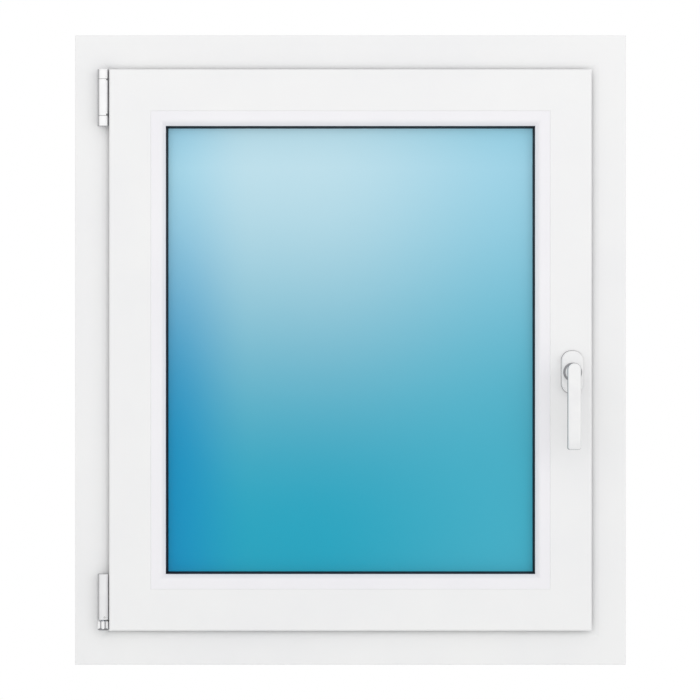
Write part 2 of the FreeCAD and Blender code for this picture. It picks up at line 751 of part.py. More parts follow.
def keeps():
    """Lock, top and tilt keeps, each drilled for its screws."""
    spaces = plate_screw_spaces(keep_screw_seats(), PLATE_SCREW_LENGTH)
    shaped = {name: without(keep(side, middle), spaces) for name, (side, middle) in keep_zones().items()}
    return {
        "keeps_lock": Part.makeCompound([shaped["keep_lock_lower"], shaped["keep_lock_upper"]]),
        "keep_top": shaped["keep_top"],
        "keep_tilt": shaped["keep_bottom"],
    }


# Hinge hardware on the frame

def knuckle(low, high):
    """Hinge knuckle on the hinge axis with softened rims."""
    barrel = rod(V(HINGE_X, HINGE_Y, low), V(HINGE_X, HINGE_Y, high), KNUCKLE_RADIUS)
    return barrel.makeFillet(0.5, [edge for edge in barrel.Edges if edge.BoundBox.ZLength < 1e-6])


NECK_START = HINGE_X + 2.0
LEAF_FACE = LANDING - LEAF_THICKNESS


def knuckle_neck(z_range, end_x):
    """Neck from a fixed knuckle round the frame's shoulder and along its landing."""
    corners = [
        (NECK_START, HINGE_Y + 4.5, 0),
        (-SASH_HALF + 1.0, LEAF_FACE, 0),
        (end_x, LEAF_FACE, 0),
        (end_x, LANDING, 0),
        (-SASH_HALF + 0.5, LANDING, 0),
        (NECK_START, HINGE_Y + 6.8, 0),
    ]
    return plan_plate(corners, z_range)


def stay_bearing_upper():
    """Top knuckle with a leaf on the landing in the frame's corner."""
    leaf_z = (STAY_TOP + 0.8, UPPER_KNUCKLE_TOP - 0.6)
    body = joined([
        knuckle(UPPER_KNUCKLE_BOTTOM, UPPER_KNUCKLE_TOP),
        knuckle_neck(leaf_z, -REBATE_X + TOP_LEAF),
    ])
    pin_space = rod(V(HINGE_X, HINGE_Y, UPPER_KNUCKLE_BOTTOM - 1),
                    V(HINGE_X, HINGE_Y, UPPER_KNUCKLE_TOP - 1.5), HINGE_PIN_RADIUS)
    return without(body, [pin_space] + plate_screw_spaces(hinge_screw_seats(), PLATE_SCREW_LENGTH))


def stay_bearing_lower():
    """Lower knuckle with a leaf that folds into the rebate of the hinge jamb."""
    neck_z = (LOWER_KNUCKLE_BOTTOM + 0.8, LOWER_KNUCKLE_TOP - 0.4)
    rebate_leaf = box((-REBATE_X, -REBATE_X + LEAF_THICKNESS), (LANDING, LANDING + REBATE_LEAF_DEPTH),
                      (LOWER_KNUCKLE_BOTTOM - REBATE_LEAF_DROP, LOWER_KNUCKLE_TOP - 0.4))
    body = joined([
        knuckle(LOWER_KNUCKLE_BOTTOM, LOWER_KNUCKLE_TOP),
        knuckle_neck(neck_z, -REBATE_X + LEAF_THICKNESS),
        rebate_leaf,
    ])
    pin_space = rod(V(HINGE_X, HINGE_Y, LOWER_KNUCKLE_BOTTOM + 1.5),
                    V(HINGE_X, HINGE_Y, LOWER_KNUCKLE_TOP + 1), HINGE_PIN_RADIUS)
    return without(body, [pin_space] + plate_screw_spaces(hinge_screw_seats(), PLATE_SCREW_LENGTH))


def stay_bearing_pin():
    """Pin through the three top knuckles."""
    return rod(V(HINGE_X, HINGE_Y, LOWER_KNUCKLE_BOTTOM + 1.5),
               V(HINGE_X, HINGE_Y, UPPER_KNUCKLE_TOP - 1.5), HINGE_PIN_RADIUS)


CUP_RADIUS = SWIVEL_RADIUS + RUNNING
CUP_OUTSIDE = CUP_RADIUS + 1.2
CUP_FLOOR = BEARING_BOTTOM + 1.0
SWIVEL_TOP = TILT_Z + 2.6


def bearing_bore():
    """Cup bore for the swivel and the flared mouth that lets the post lean."""
    lean = math.radians(9.0)
    mouth_top = POST_RADIUS + (BEARING_TOP - TILT_Z) * math.tan(lean) + FREE
    mouth_low = POST_RADIUS + (SWIVEL_TOP - TILT_Z) * math.tan(lean) + FREE
    axis_point = V(HINGE_X, HINGE_Y, SWIVEL_TOP + 0.3)
    return [
        rod(V(HINGE_X, HINGE_Y, CUP_FLOOR), axis_point, CUP_RADIUS),
        cone(axis_point, V(HINGE_X, HINGE_Y, BEARING_TOP), mouth_low, mouth_top),
    ]


def corner_bearing():
    """Bottom bearing cup with a leaf on the landing of the frame's corner."""
    cup = rod(V(HINGE_X, HINGE_Y, BEARING_BOTTOM), V(HINGE_X, HINGE_Y, BEARING_TOP), CUP_OUTSIDE)
    body = joined([cup, knuckle_neck((BEARING_BOTTOM + 0.6, BEARING_TOP - 0.8), -REBATE_X + CORNER_LEAF)])
    return without(body, bearing_bore() + plate_screw_spaces(hinge_screw_seats(), PLATE_SCREW_LENGTH))


def corner_bearing_cover():
    """Cover with three upright ribs round the front of the bearing, inside the sweep of the sash edge."""
    rib_radius = 2.55
    rib_circle = KNUCKLE_RADIUS + 0.2 - rib_radius
    spread = math.radians(62.0)
    low = BEARING_BOTTOM
    high = BEARING_TOP
    ribs = []
    for angle in (-spread, 0, spread):
        x = HINGE_X + rib_circle * math.sin(angle)
        y = HINGE_Y - rib_circle * math.cos(angle)
        ribs.append(rod(V(x, y, low), V(x, y, high), rib_radius))
    side_y = HINGE_Y - rib_circle * math.cos(spread)
    half = KNUCKLE_RADIUS - 0.2
    block = box((HINGE_X - half, HINGE_X + half), (side_y, HINGE_Y + 2.0), (low, high))
    shell = rod(V(HINGE_X, HINGE_Y, low), V(HINGE_X, HINGE_Y, high), CUP_OUTSIDE + 0.9)
    back = box((HINGE_X - 9, HINGE_X + 9), (HINGE_Y + 2.0, HINGE_Y + 9), (low - 1, high + 1))
    around = rod(V(HINGE_X, HINGE_Y, low - 1), V(HINGE_X, HINGE_Y, high + 1), CUP_OUTSIDE)
    return joined(ribs + [block, shell]).cut([around, back, corner_bearing()])


def hinge_screw_seats():
    """Seat and direction of the screws that hold the frame-side hinge leaves."""
    corner_x = -REBATE_X + CORNER_LEAF / 2
    leaf_out = V(0, 1, 0)
    jamb_out = V(-1, 0, 0)
    rebate_y = LANDING + 13.0
    return [
        (V(corner_x, LEAF_FACE, UPPER_KNUCKLE_TOP - 4.6), leaf_out),
        (V(corner_x, LEAF_FACE, BEARING_BOTTOM + 4.4), leaf_out),
        (V(-REBATE_X + LEAF_THICKNESS, rebate_y, LOWER_KNUCKLE_TOP - 8.0), jamb_out),
        (V(-REBATE_X + LEAF_THICKNESS, rebate_y, LOWER_KNUCKLE_BOTTOM - REBATE_LEAF_DROP + 8.0), jamb_out),
    ]


# Corner pivot

TONGUE_HALF = 1.9
FORK_SLOT = TONGUE_HALF + RUNNING


def pivot_swivel():
    """Fork that turns in the bearing cup and carries the cross pin."""
    drum = rod(V(HINGE_X, HINGE_Y, CUP_FLOOR), V(HINGE_X, HINGE_Y, SWIVEL_TOP), SWIVEL_RADIUS)
    slot = box((HINGE_X - FORK_SLOT, HINGE_X + FORK_SLOT), (HINGE_Y - 6, HINGE_Y + 6),
               (CUP_FLOOR + 0.8, SWIVEL_TOP + 1))
    return drum.cut([slot, trunnion_space(TRUNNION_RADIUS)])


def trunnion_space(radius):
    """Cylinder on the tilt axis, as long as the swivel is wide."""
    reach = SWIVEL_RADIUS - 0.5
    return rod(V(HINGE_X - reach, HINGE_Y, TILT_Z), V(HINGE_X + reach, HINGE_Y, TILT_Z), radius)


def trunnion_pin():
    """Cross pin on the tilt axis."""
    return trunnion_space(TRUNNION_RADIUS)


def pivot_post():
    """Post in the sash's sleeve, flattened to a tongue on the cross pin."""
    post_foot = SWIVEL_TOP + POST_LIFT
    post = rod(V(HINGE_X, HINGE_Y, post_foot), V(HINGE_X, HINGE_Y, SLEEVE_TOP - 2.0), POST_RADIUS)
    tongue_top = post_foot + 0.2
    tongue = box((HINGE_X - TONGUE_HALF, HINGE_X + TONGUE_HALF), (HINGE_Y - 1.8, HINGE_Y + 1.8),
                 (TILT_Z, tongue_top))
    eye = rod(V(HINGE_X - TONGUE_HALF, HINGE_Y, TILT_Z), V(HINGE_X + TONGUE_HALF, HINGE_Y, TILT_Z), 1.8)
    return joined([post, tongue, eye]).cut(trunnion_space(TRUNNION_RADIUS + RUNNING))


# Hinge hardware on the sash

def band_neck(z_range):
    """Neck behind the sash lip, folded along the groove face of the hinge stile."""
    front = LIP_BACK + LIP_BACK_GAP
    back = front + BAND_THICKNESS
    face = -CORE_X
    corners = [
        (NECK_START, HINGE_Y + 4.2, 0),
        (-SASH_HALF + 1.5, front, 0),
        (face, front, 0),
        (face, GROOVE_Y - FACEPLATE_WIDTH / 2, 0),
        (face - BAND_THICKNESS, GROOVE_Y - FACEPLATE_WIDTH / 2, 0),
        (face - BAND_THICKNESS, back, 0),
        (-SASH_HALF + 0.5, back, 0),
        (NECK_START, HINGE_Y + 6.6, 0),
    ]
    return plan_plate(corners, z_range)


def band_screw_seats():
    """Seats of the screws through the band into the hinge stile."""
    seat_x = -CORE_X - BAND_THICKNESS
    return [(V(seat_x, GROOVE_Y, SLEEVE_BOTTOM + rise), V(1, 0, 0)) for rise in (20.0, 46.0)]


def sash_hinge_band():
    """Bottom hinge sleeve with its band screwed to the hinge stile."""
    sleeve = knuckle(SLEEVE_BOTTOM, SLEEVE_TOP)
    neck_z = (SLEEVE_BOTTOM + BAND_INSETS[0], SLEEVE_TOP - BAND_INSETS[1])
    plate = box((-CORE_X - BAND_THICKNESS, -CORE_X), (GROOVE_Y - FACEPLATE_WIDTH / 2, GROOVE_Y + 8.0),
                neck_z)
    post_space = rod(V(HINGE_X, HINGE_Y, SLEEVE_BOTTOM - 1), V(HINGE_X, HINGE_Y, SLEEVE_TOP - 2.0),
                     POST_RADIUS)
    body = joined([sleeve, band_neck(neck_z), plate])
    return without(body, [post_space] + plate_screw_spaces(band_screw_seats(), PLATE_SCREW_LENGTH))


# Stay

def stay_arm():
    """Middle knuckle, neck behind the lip and the flat arm above the sash."""
    neck_front = LIP_BACK + LIP_BACK_GAP
    neck_back = neck_front + BAND_THICKNESS
    neck_end = -REBATE_X + 6.0
    low_neck = (ARM_KNUCKLE_TOP - ARM_NECK_HEIGHT, ARM_KNUCKLE_TOP)
    neck = plan_plate([
        (NECK_START, HINGE_Y + 4.2, 0),
        (-SASH_HALF + 1.5, neck_front, 0),
        (neck_end, neck_front, 0),
        (neck_end, neck_back, 0),
        (-SASH_HALF + 0.5, neck_back, 0),
        (NECK_START, HINGE_Y + 6.6, 0),
    ], low_neck)
    riser = box((-SASH_HALF + 2.0, neck_end), (neck_front, neck_back), (low_neck[0], STAY_TOP))
    arm_front = GROOVE_Y - STAY_WIDTH / 2
    arm_back = GROOVE_Y + STAY_WIDTH / 2
    tip = STAY_PIN_X + 9.0
    plate = plan_plate([
        (-REBATE_X + 1.2, neck_front, 0),
        (neck_end, neck_front, 0),
        (neck_end + 12.0, arm_front, 0),
        (tip, arm_front, 6.0),
        (tip, arm_back, 6.0),
        (-REBATE_X + 6.0, arm_back, 2.0),
        (-REBATE_X + 1.2, arm_front, 0),
    ], (STAY_BOTTOM, STAY_TOP))
    bore = rod(V(HINGE_X, HINGE_Y, ARM_KNUCKLE_BOTTOM - 1), V(HINGE_X, HINGE_Y, ARM_KNUCKLE_TOP + 1),
               HINGE_PIN_RADIUS + RUNNING)
    pin_hole = rod(V(STAY_PIN_X, GROOVE_Y, STAY_BOTTOM - 1), V(STAY_PIN_X, GROOVE_Y, STAY_TOP + 1),
                   STAY_PIN_RADIUS)
    body = joined([knuckle(ARM_KNUCKLE_BOTTOM, ARM_KNUCKLE_TOP), neck, riser, plate])
    return body.cut([bore, pin_hole])


def stay_slide_pin():
    """Riveted pin whose shank slides in the guide rail's slot."""
    shank = rod(V(STAY_PIN_X, GROOVE_Y, CORE_TOP - GROOVE_DEPTH + 0.6), V(STAY_PIN_X, GROOVE_Y, STAY_TOP),
                STAY_PIN_RADIUS)
    head = rod(V(STAY_PIN_X, GROOVE_Y, STAY_TOP), V(STAY_PIN_X, GROOVE_Y, STAY_TOP + 1.2),
               STAY_PIN_RADIUS + 1.8)
    return joined([shank, head])


# Sash

def gearbox_space(grow):
    """Outside of the gearbox, grown by a clearance."""
    return [
        box((HANDLE_X + HOUSING_OUT - grow, CORE_X - FACEPLATE_THICKNESS),
            (GROOVE_Y - HOUSING_HALF_DEPTH - grow, GROOVE_Y + HOUSING_HALF_DEPTH + grow),
            (HOUSING_BOTTOM - grow, HOUSING_TOP + grow)),
    ] + [
        rod(V(HANDLE_X, GROOVE_Y - HOUSING_HALF_DEPTH - BOSS_HEIGHT - grow, HANDLE_Z + place),
            V(HANDLE_X, GROOVE_Y, HANDLE_Z + place), BOSS_RADIUS + grow)
        for place in (-HANDLE_SCREW_SPACING / 2, HANDLE_SCREW_SPACING / 2)
    ]


RACK_PITCH_X = HANDLE_X - PITCH_RADIUS
RACK_ROOT_X = RACK_PITCH_X - 1.25 * GEAR_MODULE
RACK_BACK_X = RACK_ROOT_X - 5.0
HOUSING_OUT = RACK_BACK_X - 0.5 - HOUSING_WALL - HANDLE_X
HOUSING_HALF_DEPTH = 6.9
BOSS_RADIUS = 4.6
BOSS_HEIGHT = 4.6
PINION_TIP = PITCH_RADIUS + GEAR_MODULE
YOKE_THICKNESS = 6.0
YOKE_GAP = 1.0
LOWER_YOKE_TOP = HANDLE_Z - PINION_TIP - ROD_TRAVEL - YOKE_GAP
UPPER_YOKE_BOTTOM = HANDLE_Z + PINION_TIP + YOKE_GAP
HOUSING_BOTTOM = LOWER_YOKE_TOP - YOKE_THICKNESS - 0.6 - HOUSING_WALL
HOUSING_TOP = UPPER_YOKE_BOTTOM + YOKE_THICKNESS + ROD_TRAVEL + 0.6 + HOUSING_WALL


def handle_screw_places():
    """Heights of the two handle screws."""
    return [HANDLE_Z + place for place in (-HANDLE_SCREW_SPACING / 2, HANDLE_SCREW_SPACING / 2)]


def handle_cuts():
    """Pocket for the gearbox and holes for the spindle and handle screws."""
    cuts = gearbox_space(FREE)
    cuts.append(rod(V(HANDLE_X, SASH_FACE - 1, HANDLE_Z), V(HANDLE_X, GROOVE_Y, HANDLE_Z), 6.5))
    for z in handle_screw_places():
        cuts.append(rod(V(HANDLE_X, SASH_FACE - 1, z), V(HANDLE_X, GROOVE_Y, z), HANDLE_SCREW_SHANK + FREE))
    return cuts


def faceplate_screw_seats():
    """Seats and directions of the screws in the faceplates and the guide rail."""
    seats = [(V(CORE_X, GROOVE_Y, z), V(-1, 0, 0)) for z in lock_plate_screw_heights()]
    for x in (CAM_X - PLATE_SCREW_OFFSET, CAM_X + PLATE_SCREW_OFFSET):
        seats.append((V(x, GROOVE_Y, CORE_TOP), V(0, 0, -1)))
        seats.append((V(x, GROOVE_Y, CORE_BOTTOM), V(0, 0, 1)))
    long_inset, short_inset = RAIL_SCREW_INSETS
    for x in (STAY_PIN_X - RAIL_LONG_END + long_inset, STAY_PIN_X + RAIL_SHORT_END - short_inset):
        seats.append((V(x, GROOVE_Y, CORE_TOP), V(0, 0, -1)))
    return seats


def lock_plate_screw_heights():
    """Heights of the faceplate screws, clear of the rods' cams and the gearbox."""
    return (LOWER_CAM_Z - 30.0, HOUSING_TOP + 12.0 + ROD_TRAVEL, UPPER_CAM_Z + 55.0)


def all_sash_screw_seats():
    """Every hardware screw of the sash."""
    return faceplate_screw_seats() + band_screw_seats()


def sash_members():
    """Top and bottom rails and two stiles with every pocket they carry."""
    face = sash_section()
    names = {"bottom": "sash_rail_bottom", "top": "sash_rail_top", "hinge": "sash_stile_hinge",
             "lock": "sash_stile_lock"}
    screws = plate_screw_spaces(all_sash_screw_seats(), PLATE_SCREW_LENGTH)
    members = {}
    for side in SIDES:
        cutters = screws + (handle_cuts() if side == "lock" else [])
        members[names[side]] = without(mitred_bar(face, side, SASH_RECTANGLE), cutters)
    return members


def sash_steels():
    """Steel tube in each sash member, square-cut short of the welds."""
    face = steel_section(SASH_STEEL_SPACE)
    end_gap = BEAD_REACH + STEEL_END_GAP
    tubes = [straight_bar(face, side, SASH_RECTANGLE, end_gap) for side in SIDES]
    spaces = plate_screw_spaces(all_sash_screw_seats(), PLATE_SCREW_LENGTH)
    return Part.makeCompound([without(tube, spaces) for tube in tubes])


def glazing_beads():
    """Four mitred beads that hold the glass from the room side."""
    face = bead_section()
    names = {"bottom": "glazing_bead_bottom", "top": "glazing_bead_top", "hinge": "glazing_bead_hinge",
             "lock": "glazing_bead_lock"}
    return {names[side]: mitred_bar(face, side, SASH_RECTANGLE) for side in SIDES}


def glass_block(y_range, reach):
    """Sheet across the sash at a reach from its outer edge."""
    return box((-SASH_HALF + reach, SASH_HALF - reach), y_range, (SASH_BOTTOM + reach, SASH_TOP - reach))


def glass_unit():
    """Sealed unit: two panes, spacer bar and edge seal."""
    gap = (GLASS_ROOM + PANE, GLASS_OUT - PANE)
    spacer_reach = GLASS_REACH + EDGE_SEAL_HEIGHT
    outside = glass_block(gap, GLASS_REACH)
    spacer_outside = glass_block(gap, spacer_reach)
    clear = glass_block(gap, spacer_reach + SPACER_HEIGHT)
    tube_gap = (gap[0] + 0.6, gap[1] - 0.6)
    tube_inside = glass_block(tube_gap, spacer_reach + 0.6).cut(
        glass_block(tube_gap, spacer_reach + SPACER_HEIGHT - 0.6))
    return {
        "glass_inner_pane": glass_block((GLASS_ROOM, gap[0]), GLASS_REACH),
        "glass_outer_pane": glass_block((gap[1], GLASS_OUT), GLASS_REACH),
        "glass_spacer": spacer_outside.cut([clear, tube_inside]),
        "glass_edge_seal": outside.cut(spacer_outside),
    }


def setting_blocks():
    """Blocks that carry and centre the glass in the glazing rebate."""
    length = SETTING_BLOCK_LENGTH
    corner = BEAD_REACH + 70.0    # block middles from the sash corner
    y_range = (GLASS_ROOM + 0.5, GLASS_OUT - 0.5)
    low = SASH_BOTTOM + BEAD_REACH
    high = SASH_TOP - BEAD_REACH
    side = SASH_HALF - BEAD_REACH
    blocks = []
    for sign in (-1, 1):
        x = sign * (SASH_HALF - corner)
        span = (x - length / 2, x + length / 2)
        blocks.append(box(span, y_range, (low, low + GLASS_EDGE_GAP)))
        blocks.append(box(span, y_range, (high - GLASS_EDGE_GAP, high)))
        z = SASH_MIDDLE + sign * (SASH_MIDDLE - SASH_BOTTOM - corner)
        span = (z - length / 2, z + length / 2)
        blocks.append(box((sign * (side - GLASS_EDGE_GAP), sign * side), y_range, span))
    return Part.makeCompound(blocks)


def sash_gasket():
    """Lip seal, notched where the hinge necks and leaves pass behind it."""
    margin = 1.0
    spans = [
        (BEARING_BOTTOM - margin, SLEEVE_TOP - BAND_INSETS[1] + margin),
        (LOWER_KNUCKLE_BOTTOM - margin, LOWER_KNUCKLE_TOP + margin),
        (ARM_KNUCKLE_TOP - ARM_NECK_HEIGHT - margin, SASH_TOP + margin),
    ]
    right_ends = [-REBATE_X + CORNER_LEAF + 2 * margin, -CORE_X + margin, -REBATE_X + TOP_LEAF + 2 * margin]
    notches = [box((-SASH_HALF - margin, right), (LIP_BACK - margin, LANDING + margin), span)
               for span, right in zip(spans, right_ends)]
    return without(mitred_ring(sash_gasket_section(), SASH_RECTANGLE), notches)


# Drive gear

def cam(centre, outward):
    """Mushroom cam on its stem, standing out of the groove face."""
    foot = centre - outward * (FACEPLATE_THICKNESS + ROD_PLAY)
    head_start = centre + outward * (CAM_PROUD - 2.2)
    return joined([
        rod(foot, centre + outward * CAM_PROUD, CAM_STEM_RADIUS),
        rod(head_start, centre + outward * CAM_PROUD, CAM_HEAD_RADIUS),
    ])


def cam_slot(centre, travel, outward):
    """Slot in a faceplate for a cam stem and its travel."""
    half = CAM_STEM_RADIUS + FREE
    start = centre - travel.normalize() * half
    end = centre + travel.normalize() * (ROD_TRAVEL + half)
    depth = outward * (FACEPLATE_THICKNESS + 1)
    across = V(0, half, 0)
    corner_a = start - across - depth
    corner_b = end + across + outward
    return box((corner_a.x, corner_b.x), (corner_a.y, corner_b.y), (corner_a.z, corner_b.z))


def groove_strip(side, along_range, depth_range, width):
    """Strip in the sash's hardware groove, by its depth below the groove face."""
    y_range = (GROOVE_Y - width / 2, GROOVE_Y + width / 2)
    near, far = depth_range
    if side == "lock":
        return box((CORE_X - far, CORE_X - near), y_range, along_range)
    if side == "top":
        return box(along_range, y_range, (CORE_TOP - far, CORE_TOP - near))
    return box(along_range, y_range, (CORE_BOTTOM + near, CORE_BOTTOM + far))


PLATE_DEPTH = (0.0, FACEPLATE_THICKNESS)
ROD_DEPTH = (FACEPLATE_THICKNESS + ROD_PLAY, FACEPLATE_THICKNESS + ROD_PLAY + ROD_THICKNESS)
UP = V(0, 0, 1)
RIGHT = V(1, 0, 0)
LEG_LOW = CORE_BOTTOM + CORNER_LEG
LEG_HIGH = CORE_TOP - CORNER_LEG
LEG_X = CORE_X - CORNER_LEG


def faceplate(side, along_range, slots):
    """Faceplate flush in the groove, drilled and slotted."""
    plate = groove_strip(side, along_range, PLATE_DEPTH, FACEPLATE_WIDTH)
    return without(plate, slots + plate_screw_spaces(faceplate_screw_seats(), PLATE_SCREW_LENGTH))


def faceplates():
    """Lock, top and bottom faceplates and the stay's guide rail."""
    rail_end = STAY_PIN_X + RAIL_SHORT_END
    lock_slots = [cam_slot(V(CORE_X, GROOVE_Y, z), V(UP), V(RIGHT)) for z in (LOWER_CAM_Z, UPPER_CAM_Z)]
    pin_slot = box((STAY_PIN_X - STAY_PIN_TRAVEL - STAY_PIN_RADIUS - 1, STAY_PIN_X + STAY_PIN_RADIUS + 1),
                   (GROOVE_Y - STAY_PIN_SLOT / 2, GROOVE_Y + STAY_PIN_SLOT / 2), (CORE_TOP - 3, CORE_TOP + 1))
    top_slot = cam_slot(V(CAM_X, GROOVE_Y, CORE_TOP), V(-1, 0, 0), V(UP))
    bottom_slot = cam_slot(V(CAM_X, GROOVE_Y, CORE_BOTTOM), V(RIGHT), V(0, 0, -1))
    return {
        "lock_faceplate": faceplate("lock", (LEG_LOW, LEG_HIGH), lock_slots),
        "top_faceplate": faceplate("top", (rail_end, LEG_X), [top_slot]),
        "bottom_faceplate": faceplate("bottom", (CAM_X - 70.0, LEG_X), [bottom_slot]),
        "stay_guide_rail": faceplate("top", (STAY_PIN_X - RAIL_LONG_END, rail_end), [pin_slot]),
    }


def corner_drive(high):
    """Corner guide: an L of plates over a channel for the spring band."""
    side = "top" if high else "bottom"
    upright = (LEG_HIGH, CORE_TOP) if high else (CORE_BOTTOM, LEG_LOW)
    plates = [
        groove_strip("lock", upright, PLATE_DEPTH, FACEPLATE_WIDTH),
        groove_strip(side, (LEG_X, CORE_X), PLATE_DEPTH, FACEPLATE_WIDTH),
    ]
    floor = (FACEPLATE_THICKNESS, GROOVE_DEPTH)
    block_length = 16.0
    block_up = (CORE_TOP - block_length, CORE_TOP) if high else (CORE_BOTTOM, CORE_BOTTOM + block_length)
    blocks = [
        groove_strip("lock", block_up, floor, ROD_WIDTH),
        groove_strip(side, (CORE_X - block_length, CORE_X), floor, ROD_WIDTH),
    ]
    return joined(plates + blocks)


def tooth_angle(radius):
    """Half angle of a gear tooth at a radius, on an involute flank."""
    base = PITCH_RADIUS * math.cos(PRESSURE_ANGLE)
    pressure = math.acos(min(1.0, base / radius))
    pitch_half = math.pi / (2 * GEAR_TEETH) - BACKLASH / (2 * PITCH_RADIUS)
    involute = math.tan(pressure) - pressure
    pitch_involute = math.tan(PRESSURE_ANGLE) - PRESSURE_ANGLE
    return pitch_half + pitch_involute - involute


def pinion_outline():
    """Points round the pinion in the XZ plane, tooth by tooth."""
    root = PITCH_RADIUS - 1.25 * GEAR_MODULE
    base = PITCH_RADIUS * math.cos(PRESSURE_ANGLE)
    flank = [base, (base + PITCH_RADIUS) / 2, PITCH_RADIUS, (PITCH_RADIUS + PINION_TIP) / 2, PINION_TIP]
    points = []
    for tooth in range(GEAR_TEETH):
        middle = 2 * math.pi * tooth / GEAR_TEETH
        rising = [(root, -tooth_angle(base))] + [(radius, -tooth_angle(radius)) for radius in flank]
        falling = [(radius, -angle) for radius, angle in reversed(rising)]
        for radius, angle in rising + falling:
            points.append(V(radius * math.cos(middle + angle), 0, radius * math.sin(middle + angle)))
    return points


def gear_pinion():
    """Pinion on the spindle, with journals on both sides."""
    points = pinion_outline()
    face = Part.Face(Part.makePolygon(points + [points[0]]))
    wheel = face.extrude(V(0, GEAR_THICKNESS, 0))
    wheel.translate(V(HANDLE_X, GROOVE_Y - GEAR_THICKNESS / 2, HANDLE_Z))
    journal = rod(V(HANDLE_X, GROOVE_Y - HOUSING_HALF_DEPTH + 0.1, HANDLE_Z),
                  V(HANDLE_X, GROOVE_Y + HOUSING_HALF_DEPTH - 0.1, HANDLE_Z), JOURNAL_RADIUS)
    return joined([wheel, journal]).cut(spindle_block(0))


JOURNAL_RADIUS = 5.8


def spindle_block(grow):
    """Square spindle from the lever to the far side of the gearbox."""
    half = SPINDLE_SIDE / 2 + grow
    return box((HANDLE_X - half, HANDLE_X + half),
               (SASH_FACE - ROSETTE_DEPTH - SPINDLE_IN_LEVER, GROOVE_Y + HOUSING_HALF_DEPTH),
               (HANDLE_Z - half, HANDLE_Z + half))


def gearbox_housing():
    """Case round the pinion and rack, open towards the faceplate."""
    outside = joined(gearbox_space(0))
    low = HOUSING_BOTTOM + HOUSING_WALL
    high = HOUSING_TOP - HOUSING_WALL
    inner_y = (GROOVE_Y - HOUSING_HALF_DEPTH + HOUSING_WALL, GROOVE_Y + HOUSING_HALF_DEPTH - HOUSING_WALL)
    inside = box((HANDLE_X + HOUSING_OUT + HOUSING_WALL, CORE_X), inner_y, (low, high))
    rod_way = box((CORE_X - ROD_DEPTH[1] - FREE, CORE_X),
                  (GROOVE_Y - ROD_WIDTH / 2 - ROD_PLAY, GROOVE_Y + ROD_WIDTH / 2 + ROD_PLAY),
                  (HOUSING_BOTTOM - 1, HOUSING_TOP + 1))
    bearing = rod(V(HANDLE_X, GROOVE_Y - HOUSING_HALF_DEPTH - BOSS_HEIGHT, HANDLE_Z),
                  V(HANDLE_X, GROOVE_Y + HOUSING_HALF_DEPTH + 1, HANDLE_Z), JOURNAL_RADIUS + RUNNING)
    screw_holes = [rod(V(HANDLE_X, SASH_FACE, z), V(HANDLE_X, GROOVE_Y - HOUSING_HALF_DEPTH + 1.0, z),
                       HANDLE_SCREW_SHANK) for z in handle_screw_places()]
    return without(outside, [inside, rod_way, bearing] + screw_holes)


def rack_teeth():
    """Rack teeth over the length that meets the pinion."""
    pitch = math.pi * GEAR_MODULE
    root_half = pitch / 4 - BACKLASH / 2 + 1.25 * GEAR_MODULE * math.tan(PRESSURE_ANGLE)
    tip_half = pitch / 4 - BACKLASH / 2 - GEAR_MODULE * math.tan(PRESSURE_ANGLE)
    tip_x = RACK_PITCH_X + GEAR_MODULE
    y_range = (GROOVE_Y - GEAR_THICKNESS / 2, GROOVE_Y + GEAR_THICKNESS / 2)
    below = math.ceil((ROD_TRAVEL + PITCH_RADIUS / 2) / pitch)
    above = math.ceil(PITCH_RADIUS / 2 / pitch)
    teeth = []
    for number in range(-below, above):
        z = HANDLE_Z + (number + 0.5) * pitch
        corners = [(RACK_ROOT_X - 0.5, z - root_half, 0), (RACK_ROOT_X, z - root_half, 0),
                   (tip_x, z - tip_half, 0), (tip_x, z + tip_half, 0),
                   (RACK_ROOT_X, z + root_half, 0), (RACK_ROOT_X - 0.5, z + root_half, 0)]
        teeth.append(front_plate(corners, y_range))
    return teeth


def drive_rod():
    """Rack yoke round the pinion with the rods that run up and down the lock stile."""
    y_range = (GROOVE_Y - GEAR_THICKNESS / 2, GROOVE_Y + GEAR_THICKNESS / 2)
    rod_inner = CORE_X - ROD_DEPTH[1]
    rod_outer = CORE_X - ROD_DEPTH[0]
    lower = (LOWER_YOKE_TOP - YOKE_THICKNESS, LOWER_YOKE_TOP)
    upper = (UPPER_YOKE_BOTTOM, UPPER_YOKE_BOTTOM + YOKE_THICKNESS)
    pieces = [
        box((RACK_BACK_X, RACK_ROOT_X), y_range, (lower[0], upper[1])),
        box((RACK_BACK_X, rod_outer), y_range, lower),
        box((RACK_BACK_X, rod_outer), y_range, upper),
        groove_strip("lock", (LEG_LOW - 25.0, lower[1]), ROD_DEPTH, ROD_WIDTH),
        groove_strip("lock", (upper[0], LEG_HIGH + 2.0), ROD_DEPTH, ROD_WIDTH),
    ]
    body = joined(pieces + rack_teeth())
    relief = box((rod_inner - 1, rod_outer + 1), (GROOVE_Y - ROD_WIDTH, GROOVE_Y + ROD_WIDTH),
                 (lower[1], upper[0]))
    sink_half = PLATE_SCREW[1] + FREE
    sinks = [box((rod_inner - 1, rod_outer + 1), (GROOVE_Y - sink_half, GROOVE_Y + sink_half), span)
             for span in screw_passages()]
    return without(body, [relief] + sinks)


def screw_passages():
    """Slots in the lock rod that let the fixed faceplate screws stand still."""
    return [(z - ROD_TRAVEL - 3.0, z + 3.0) for z in lock_plate_screw_heights()]


def lock_cams():
    """Two cams riveted to the lock rod."""
    return Part.makeCompound([cam(V(CORE_X, GROOVE_Y, z), V(RIGHT)) for z in (LOWER_CAM_Z, UPPER_CAM_Z)])


